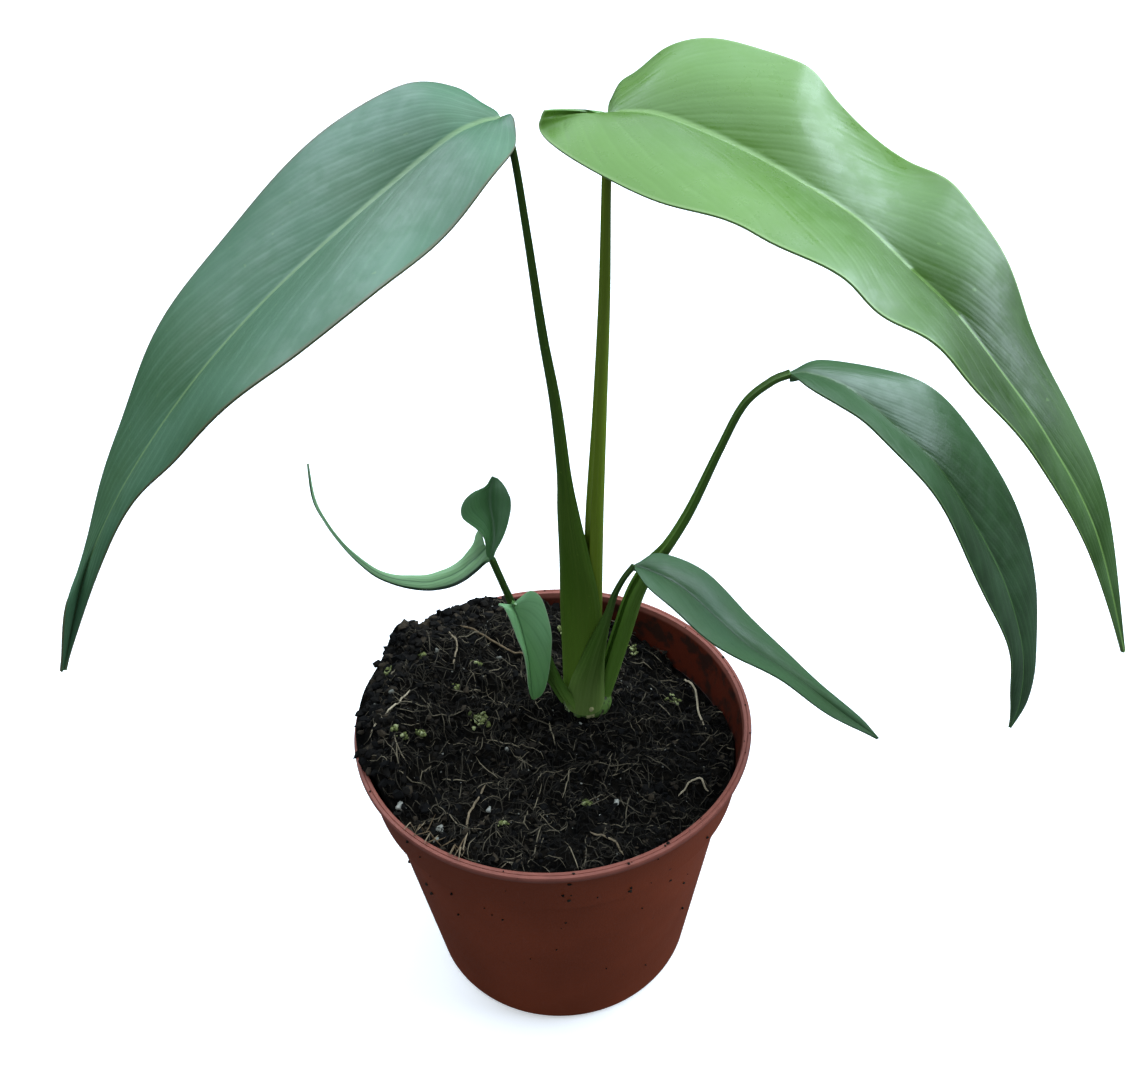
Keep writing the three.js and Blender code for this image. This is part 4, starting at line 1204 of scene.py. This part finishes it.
# Clumps of yellow-green algae and moss as x, y, spread, bits
ALGAE_CLUMPS = [
    (-50.8, 17, 2.2, 9),
    (-46.5, -8.9, 1.7, 7),
    (-39.4, -7, 1.8, 7),
    (-44.2, -9.9, 1.2, 4),
    (-22.3, 1.8, 3.6, 18),
    (9.5, -27.7, 1.5, 6),
    (39.2, 19.7, 2.0, 7),
    (-40.1, 22.1, 1.5, 5),
    (-24, 22, 1.6, 6),
    (2.7, 43, 1.6, 5),
    (-30, 12, 1.4, 5),
    (27, 40, 2.2, 8),
    (-14, -40, 1.8, 6),
]


def make_algae():
    draw = random.Random(LITTER_SEED + 3)
    bm = bmesh.new()
    tone_layer = bm.verts.layers.float.new("tone")
    for x, y, spread, bits in ALGAE_CLUMPS:
        for _ in range(bits * 3):
            size = draw.uniform(0.25, 0.7)
            place = ground_point(x + draw.gauss(0, spread * 0.35), y + draw.gauss(0, spread * 0.35), 0)
            place.z += draw.uniform(0.1, 1.0)
            add_bit(bm, place, size, 0.8, 2, draw.random(), tone_layer, draw, 0.45)
    material = toned_material(
        "algae_clump", (0.050, 0.060, 0.016), (0.190, 0.210, 0.070), (0.430, 0.450, 0.220), 0.85, 1200.0
    )
    finish_piece(bm, "soil_algae", material, "soil")


# Longer straws and a pale root strand as x, y, lift points and a tone
STRANDS = [
    ([(51.2, 34.7, 2), (47.5, 29, 3), (46.5, 21, 2.4), (46.2, 12, 1.6), (47.5, 3.9, 0.6)], 0.34, 1.0),
    ([(-43.5, 8.1, 0.8), (-48, -0.5, 1.0), (-53.9, -10.3, 0.6)], 0.3, 0.95),
    ([(-33, 34, 1.0), (-30, 27, 1.4), (-31, 20, 1.0)], 0.3, 0.75),
    ([(-20, -22, 0.6), (-24, -31, 0.8), (-25, -38, 0.5)], 0.35, 0.7),
    ([(10, -40, 0.6), (16, -44, 0.9), (19, -49, 0.6)], 0.3, 0.7),
    ([(36, -26, 0.8), (42, -22, 1.2), (45, -25, 0.6)], 0.28, 0.9),
    ([(-8, 30, 0.8), (-20, 34, 1.4), (-30, 38, 1.0)], 0.35, 0.6),
]
STRAND_STEPS = 12
RIM_STRAWS = 9
RIM_STRAW_STEPS = 6


def make_strands():
    """Long straws, the pale root at the right, and straws that lie over the front-left lip."""
    draw = random.Random(LITTER_SEED + 4)
    bm = bmesh.new()
    tone_layer = bm.verts.layers.float.new("tone")
    for marks, radius, tone in STRANDS:
        points = []
        for i in range(STRAND_STEPS + 1):
            x, y, lift = spline(marks, i / STRAND_STEPS)
            points.append(ground_point(x, y, lift * 0.6 + 0.2))
        add_thread(bm, points, radius, tone, tone_layer, 6)
    for _ in range(RIM_STRAWS):
        angle = math.radians(draw.uniform(222, 246))
        inner = 50 + draw.uniform(-3, 3)
        outer = RIM_RADIUS - draw.uniform(0.2, 1.5)
        swing = draw.uniform(-0.12, 0.12)
        points = []
        for i in range(RIM_STRAW_STEPS + 1):
            share = i / RIM_STRAW_STEPS
            radius = inner + (outer - inner) * share
            turn = angle + swing * (share - 0.5)
            x = radius * math.cos(turn)
            y = radius * math.sin(turn)
            low = soil_height(x, y) + 0.8 if radius < 55 else POT_HEIGHT + 0.35
            points.append(Vector((x, y, low + draw.uniform(0, 0.3))))
        add_thread(bm, points, draw.uniform(0.12, 0.24), draw.uniform(0.3, 0.85), tone_layer, 5)
    bmesh.ops.remove_doubles(bm, verts=bm.verts, dist=0.0005)
    material = toned_material(
        "straw", (0.030, 0.020, 0.012), (0.160, 0.110, 0.060), (0.520, 0.430, 0.290), 0.75, 500.0
    )
    finish_piece(bm, "soil_straws", material, "soil")


WALL_SPECKS = 70


def outer_radius(z):
    return wall_radius(z) + POT_WALL


def make_wall_specks():
    """Specks of soil that stick to the wall and lie on the lip."""
    draw = random.Random(LITTER_SEED + 5)
    bm = bmesh.new()
    tone_layer = bm.verts.layers.float.new("tone")
    for index in range(WALL_SPECKS):
        size = 0.22 + 0.5 * draw.random() ** 2
        if index % 3 == 0:
            angle = draw.uniform(0, 2 * math.pi)
            radius = RIM_RADIUS - draw.uniform(0.4, 2.0)
            place = Vector((radius * math.cos(angle), radius * math.sin(angle), POT_HEIGHT + size * 0.25))
        else:
            angle = math.radians(draw.gauss(245, 45))
            z = POT_HEIGHT - 4 - abs(draw.gauss(0, 26))
            z = max(z, 8)
            radius = outer_radius(z) + size * 0.1
            place = Vector((radius * math.cos(angle), radius * math.sin(angle), z))
        add_bit(bm, place, size, 0.6, 1, draw.random() * 0.5, tone_layer, draw, 0.3)
    material = toned_material(
        "soil_speck", (0.004, 0.0035, 0.003), (0.030, 0.022, 0.015), (0.120, 0.090, 0.060), 0.95, 900.0
    )
    finish_piece(bm, "pot_specks", material, "soil")


# Crown


def make_crown():
    bm = bmesh.new()
    verts = [bm.verts.new((0, 0, CROWN_BOTTOM))]
    steps = 30
    for i in range(steps + 1):
        share = i / steps
        ridge = 0.03 * math.cos(share * math.pi * 8)
        height = CROWN_BOTTOM + (CROWN_TOP - CROWN_DOME - CROWN_BOTTOM) * share
        verts.append(bm.verts.new((0.72 + 0.28 * share + ridge, 0, height)))
    for i in range(1, 9):
        angle = i / 9 * math.pi / 2
        height = CROWN_TOP - CROWN_DOME + CROWN_DOME * math.sin(angle)
        verts.append(bm.verts.new((math.cos(angle), 0, height)))
    verts.append(bm.verts.new((0, 0, CROWN_TOP)))
    spin_profile(bm, verts, CROWN_SIDES, 0.0001)
    bmesh.ops.scale(bm, verts=bm.verts, vec=(CROWN_HALF[0], CROWN_HALF[1], 1))
    bmesh.ops.translate(bm, verts=bm.verts, vec=(*CROWN_PLACE, 0))
    matrix = (
        Matrix.Translation(BUD_PLACE) @ Matrix.Rotation(math.radians(14), 4, "X")
        @ Matrix.Diagonal((BUD_RADIUS, BUD_RADIUS, BUD_LENGTH / 2, 1))
    )
    bmesh.ops.create_uvsphere(bm, u_segments=24, v_segments=16, radius=1, matrix=matrix)
    bmesh.ops.recalc_face_normals(bm, faces=bm.faces)
    finish_piece(bm, "crown_stem", crown_material(), "crown", ["crown"])


# Leaf stalks


def stalk_outline(across, depth, sheath, back, turn):
    """A point of the stalk's section: the outer arc, then the hollow of the sheath or channel."""
    opened = clamp(sheath)
    wrap = STALK_WRAP + (SHEATH_WRAP - STALK_WRAP) * opened
    edge = min(SHEATH_EDGE, across * 0.45)
    outer_share = 0.6
    if turn <= outer_share:
        angle = wrap * (2 * turn / outer_share - 1)
        return across * math.sin(angle), -depth * math.cos(angle)
    side = 1 - 2 * (turn - outer_share) / (1 - outer_share - 0.02)
    side = max(side, -1.0)
    angle = wrap * side
    wall = edge + (min(back, depth * 0.9) - edge) * max(0, math.cos(angle))
    arc = ((across - edge) * math.sin(angle), -(depth - wall) * math.cos(angle))
    end = ((across - edge) * math.sin(wrap), -(depth - edge) * math.cos(wrap))
    chord = (end[0] * side, end[1] - 0.12 * depth * (1 - side * side))
    return (
        chord[0] + (arc[0] - chord[0]) * opened,
        chord[1] + (arc[1] - chord[1]) * opened,
    )


STALK_ROWS = 150
STALK_SIDES = 50


def make_stalk(name, spec):
    rows = spec["rows"]
    open_side = Vector(spec["open"]).normalized()
    bm = bmesh.new()
    share_layer = bm.verts.layers.float.new("share")
    along_layer = bm.verts.layers.float.new("along")
    around_layer = bm.verts.layers.float.new("around")
    length = sum((Vector(b[:3]) - Vector(a[:3])).length for a, b in zip(rows, rows[1:]))
    sections = []
    for i in range(STALK_ROWS + 1):
        share = i / STALK_ROWS
        row = spline(rows, share)
        ahead = Vector(spline(rows, min(1, share + 0.002))[:3])
        behind = Vector(spline(rows, max(0, share - 0.002))[:3])
        along = (ahead - behind).normalized()
        side = along.cross(open_side).normalized()
        sections.append((row, side, side.cross(along)))

    def place(vert, u, v):
        i = round(u * STALK_ROWS)
        row, side, facing = sections[i]
        p, q = stalk_outline(row[3], row[4], row[5], spec["back"], v % 1.0)
        vert[share_layer] = u
        vert[along_layer] = u * length * MM
        vert[around_layer] = abs(2 * v - 1)
        return Vector(row[:3]) + side * p + facing * q

    grid_sheet(bm, STALK_ROWS, STALK_SIDES, place)
    bmesh.ops.remove_doubles(bm, verts=bm.verts, dist=0.0005)
    bmesh.ops.holes_fill(bm, edges=[edge for edge in bm.edges if edge.is_boundary], sides=0)
    bmesh.ops.recalc_face_normals(bm, faces=bm.faces)
    material = stalk_material(name, STALK_LOOKS[name])
    finish_piece(bm, name.replace("petiole", "stalk"), material, name, [name], math.radians(50))


# Leaf blades

BLADE_ROWS = 150
BLADE_COLUMNS = 44
STRETCH = 0.01
MARGIN_PULL = 0.5
RIPPLE_PHASE = 1.7


def heading(rail, share):
    """Direction in which a rail runs, over a short stretch of it."""
    return Vector(spline(rail, min(1, share + STRETCH))) - Vector(spline(rail, max(0, share - STRETCH)))


def blade_frames(rails):
    """For each row the midrib point, and for the left and right half its vector and its upward side."""
    frames = []
    for i in range(BLADE_ROWS + 1):
        share = i / BLADE_ROWS * TIP_TRIM
        spine = Vector(spline(rails[0], share))
        halves = []
        for rail, turn in ((rails[1], 1), (rails[2], -1)):
            half = Vector(spline(rail, share)) - spine
            course = heading(rails[0], share).normalized() + heading(rail, share).normalized() * MARGIN_PULL
            halves.append((half, course.cross(half * turn).normalized()))
        frames.append((spine, halves))
    return frames


BLADE_LAYERS = ("share", "side", "across", "under")


def blade_sheet(spec):
    """One skin between its midrib and margins, thickened, with the midrib raised below."""
    bm = bmesh.new()
    layers = {key: bm.verts.layers.float.new(key) for key in BLADE_LAYERS}
    frames = blade_frames([[station[k] for station in spec["stations"]] for k in range(3)])
    low, high = spec.get("spread", (0.0, 1.0))

    def place(vert, u, v):
        share = u * TIP_TRIM
        side = 1 - 2 * v
        spine, halves = frames[round(u * BLADE_ROWS)]
        half, up = halves[0] if side < 0 else halves[1]
        reach = half.length
        s = abs(side)
        phase = 0 if side < 0 else RIPPLE_PHASE
        ripple = spec["wave"] * s * s * math.sin(2 * math.pi * spec["waves"] * share + phase)
        taper = min(1, 4 * (1 - share))
        bulge = spec["arch"] * reach * 4 * s * (1 - s)
        groove = -min(0.3, 0.08 * reach) * (1 - share) * math.exp(-((s * reach) ** 2) / 0.9)
        vert[layers["share"]] = low + (high - low) * share
        vert[layers["side"]] = side
        vert[layers["across"]] = side * reach * MM
        return spine + half * s + up * (bulge + ripple * taper + groove)

    grid_sheet(bm, BLADE_ROWS, BLADE_COLUMNS, place)
    bm.normal_update()
    normals = {tuple(vert.co): vert.normal.copy() for vert in bm.verts}
    facing = 0.0
    for vert in bm.verts:
        row = round((vert[layers["share"]] - low) / (high - low) / TIP_TRIM * BLADE_ROWS)
        facing += vert.normal.dot(frames[row][1][0 if vert[layers["side"]] < 0 else 1][1])
    down = -1 if facing > 0 else 1
    made = bmesh.ops.extrude_face_region(bm, geom=list(bm.faces), use_keep_orig=True)["geom"]
    for vert in made:
        if not isinstance(vert, bmesh.types.BMVert):
            continue
        vert[layers["under"]] = 1.0
        across = abs(vert[layers["across"]]) / MM
        share = (vert[layers["share"]] - low) / (high - low)
        ridge = spec["rib"] * (1 - 0.8 * share) * math.exp(-(across**2) / 1.5)
        vert.co += normals[tuple(vert.co)] * (down * (BLADE_SKIN + ridge))
    return bm


def make_blade(name, spec):
    """A leaf is one sheet, and the curled one also has a head that stands up from its base."""
    bm = bmesh.new()
    for key in BLADE_LAYERS:
        bm.verts.layers.float.new(key)
    carrier = bpy.data.meshes.new("carrier")
    for part in (spec, spec.get("head")):
        if part:
            absorb(bm, blade_sheet({**spec, **part}), carrier)
    bpy.data.meshes.remove(carrier)
    bmesh.ops.recalc_face_normals(bm, faces=bm.faces)
    material = leaf_material(name, LEAF_LOOKS[name])
    finish_piece(bm, name.replace("blade", "leaf"), material, name, [name], math.radians(60))


# Stage


def place_camera():
    forward = Vector((0, math.cos(CAMERA_PITCH), -math.sin(CAMERA_PITCH)))
    level_right = Vector((1, 0, 0))
    level_up = level_right.cross(forward)
    right = math.cos(CAMERA_ROLL) * level_right + math.sin(CAMERA_ROLL) * level_up
    up = -math.sin(CAMERA_ROLL) * level_right + math.cos(CAMERA_ROLL) * level_up
    data = bpy.data.cameras.new("photo_camera")
    data.sensor_fit = "HORIZONTAL"
    data.sensor_width = SENSOR_WIDTH
    data.lens = FOCAL_PX / PHOTO_WIDTH_PX * SENSOR_WIDTH
    data.clip_start = 0.01
    data.clip_end = 50
    camera = bpy.data.objects.new("photo_camera", data)
    turn = Matrix((right, up, -forward)).transposed().to_4x4()
    camera.matrix_world = Matrix.Translation(Vector(CAMERA_PLACE) * MM) @ turn
    bpy.context.scene.collection.objects.link(camera)
    bpy.context.scene.camera = camera


def make_floor(settings):
    """A pale floor that the lens sees bright, and that throws only a little light back up."""
    bm = bmesh.new()
    bmesh.ops.create_grid(bm, x_segments=2, y_segments=2, size=8)
    floor = mesh_object("floor", bm)
    material, kit, shader = new_material("floor_paper")
    tone = kit.noise(kit.object_place(), 3.0, 2.0)
    shade = tuple(0.97 * c for c in settings.floor_colour)
    pale = kit.mix(tone, settings.floor_colour, shade)
    seen = kit.new("ShaderNodeLightPath").outputs["Is Camera Ray"]
    kit.feed(shader.inputs["Base Color"], kit.mix(seen, settings.floor_bounce, pale))
    shader.inputs["Roughness"].default_value = 0.9
    shader.inputs["Specular IOR Level"].default_value = 0.1
    shader.inputs["Emission Color"].default_value = (1, 1, 1, 1)
    kit.feed(shader.inputs["Emission Strength"], kit.math("MULTIPLY", seen, settings.floor_glow))
    floor.data.materials.append(material)


def add_softbox(name, place, target, size, power, colour):
    data = bpy.data.lights.new(name, "AREA")
    data.shape = "RECTANGLE"
    data.size = size[0]
    data.size_y = size[1]
    data.energy = power
    data.color = colour
    lamp = bpy.data.objects.new(name, data)
    lamp.location = place
    aim = Vector(target) - Vector(place)
    lamp.rotation_euler = aim.to_track_quat("-Z", "Y").to_euler()
    bpy.context.scene.collection.objects.link(lamp)


def make_lights(settings):
    middle = (0.0, 0.0, 0.18)
    for name, place, size, share in SOFTBOXES:
        power = settings.light_power * share
        add_softbox(name, place, middle, size, power, settings.light_colour)
    world = bpy.data.worlds.new("studio")
    world.use_nodes = True
    sky = world.node_tree.nodes["Background"]
    sky.inputs["Color"].default_value = (*settings.light_colour, 1)
    sky.inputs["Strength"].default_value = settings.sky_strength
    bpy.context.scene.world = world
    bpy.context.scene.view_settings.view_transform = "Standard"


# Add-on


def colour_property(name, description, default):
    return FloatVectorProperty(
        name=name, description=description, subtype="COLOR", size=3, min=0, max=1, default=default
    )


class PlantPotSettings(bpy.types.PropertyGroup):
    wall_colour: colour_property("Wall", "Outer wall's brown plastic", (0.270, 0.052, 0.018))
    wall_shade: colour_property("Wall shade", "Darker clouds in the wall", (0.220, 0.042, 0.014))
    lip_colour: colour_property("Lip", "Worn pink lip", (0.310, 0.098, 0.068))
    lip_shade: colour_property("Lip shade", "Darker parts of the lip", (0.180, 0.052, 0.036))
    inner_colour: colour_property("Inner wall", "Dark red-brown inside", (0.110, 0.016, 0.006))
    inner_shade: colour_property("Inner shade", "Darker parts of the inside", (0.065, 0.010, 0.004))
    pot_sides: IntProperty(
        name="Pot sides", description="Steps of the pot's spin", default=160, min=48, max=240
    )


class PlantStageSettings(bpy.types.PropertyGroup):
    light_power: FloatProperty(
        name="Light power", description="Power of the overhead softbox", default=26.0, min=0, unit="POWER"
    )
    light_colour: colour_property("Light", "Cool daylight", (0.74, 0.87, 1.0))
    sky_strength: FloatProperty(name="Sky strength", description="Light from all round", default=0.27, min=0)
    floor_colour: colour_property("Floor", "Plain pale floor", (0.93, 0.93, 0.93))
    floor_glow: FloatProperty(
        name="Floor glow", description="Lifts the floor to paper white for the lens", default=0.4, min=0
    )
    floor_bounce: colour_property("Floor bounce", "Floor as the plant sees it", (0.07, 0.07, 0.07))


class PLANT_OT_stage(bpy.types.Operator):
    """Set the camera, floor and soft light"""

    bl_idname = "plant.stage"
    bl_label = "Stage"

    def execute(self, context):
        place_camera()
        make_floor(context.scene.plant_stage)
        make_lights(context.scene.plant_stage)
        return {"FINISHED"}


class PLANT_OT_pot(bpy.types.Operator):
    """Spin the pot, drill its floor and speck its wall with soil"""

    bl_idname = "plant.pot"
    bl_label = "Pot"

    def execute(self, context):
        make_pot(context.scene.plant_pot)
        make_wall_specks()
        return {"FINISHED"}


class PLANT_OT_soil(bpy.types.Operator):
    """Lay the peat with its fibres, crumbs, perlite, algae and straws"""

    bl_idname = "plant.soil"
    bl_label = "Soil"

    def execute(self, context):
        make_soil()
        make_fibres()
        make_crumbs()
        make_perlite()
        make_algae()
        make_strands()
        return {"FINISHED"}


class PLANT_OT_stalks(bpy.types.Operator):
    """Grow the crown and the six leaf stalks with their sheaths"""

    bl_idname = "plant.stalks"
    bl_label = "Crown and stalks"

    def execute(self, context):
        make_crown()
        for name, spec in STALKS.items():
            make_stalk(name, spec)
        return {"FINISHED"}


class PLANT_OT_blades(bpy.types.Operator):
    """Shape the six leaf blades"""

    bl_idname = "plant.blades"
    bl_label = "Blades"

    def execute(self, context):
        for name, spec in BLADES.items():
            make_blade(name, spec)
        return {"FINISHED"}


class PLANT_PT_panel(bpy.types.Panel):
    """Lists the steps that build the plant"""

    bl_idname = "PLANT_PT_panel"
    bl_label = "Potted plant"
    bl_space_type = "VIEW_3D"
    bl_region_type = "UI"
    bl_category = "Plant"

    def draw(self, context):
        for step in STEPS:
            self.layout.operator(step.bl_idname)
        for settings in (context.scene.plant_pot, context.scene.plant_stage):
            box = self.layout.box()
            for key in settings.__annotations__:
                box.prop(settings, key)


STEPS = (PLANT_OT_stage, PLANT_OT_pot, PLANT_OT_soil, PLANT_OT_stalks, PLANT_OT_blades)
CLASSES = (PlantPotSettings, PlantStageSettings, *STEPS, PLANT_PT_panel)


def register():
    for cls in CLASSES:
        bpy.utils.register_class(cls)
    bpy.types.Scene.plant_pot = PointerProperty(type=PlantPotSettings)
    bpy.types.Scene.plant_stage = PointerProperty(type=PlantStageSettings)


def unregister():
    del bpy.types.Scene.plant_stage
    del bpy.types.Scene.plant_pot
    for cls in reversed(CLASSES):
        bpy.utils.unregister_class(cls)


def main():
    register()
    bpy.ops.plant.stage()
    bpy.ops.plant.pot()
    bpy.ops.plant.soil()
    bpy.ops.plant.stalks()
    bpy.ops.plant.blades()


if __name__ == "__main__":
    main()
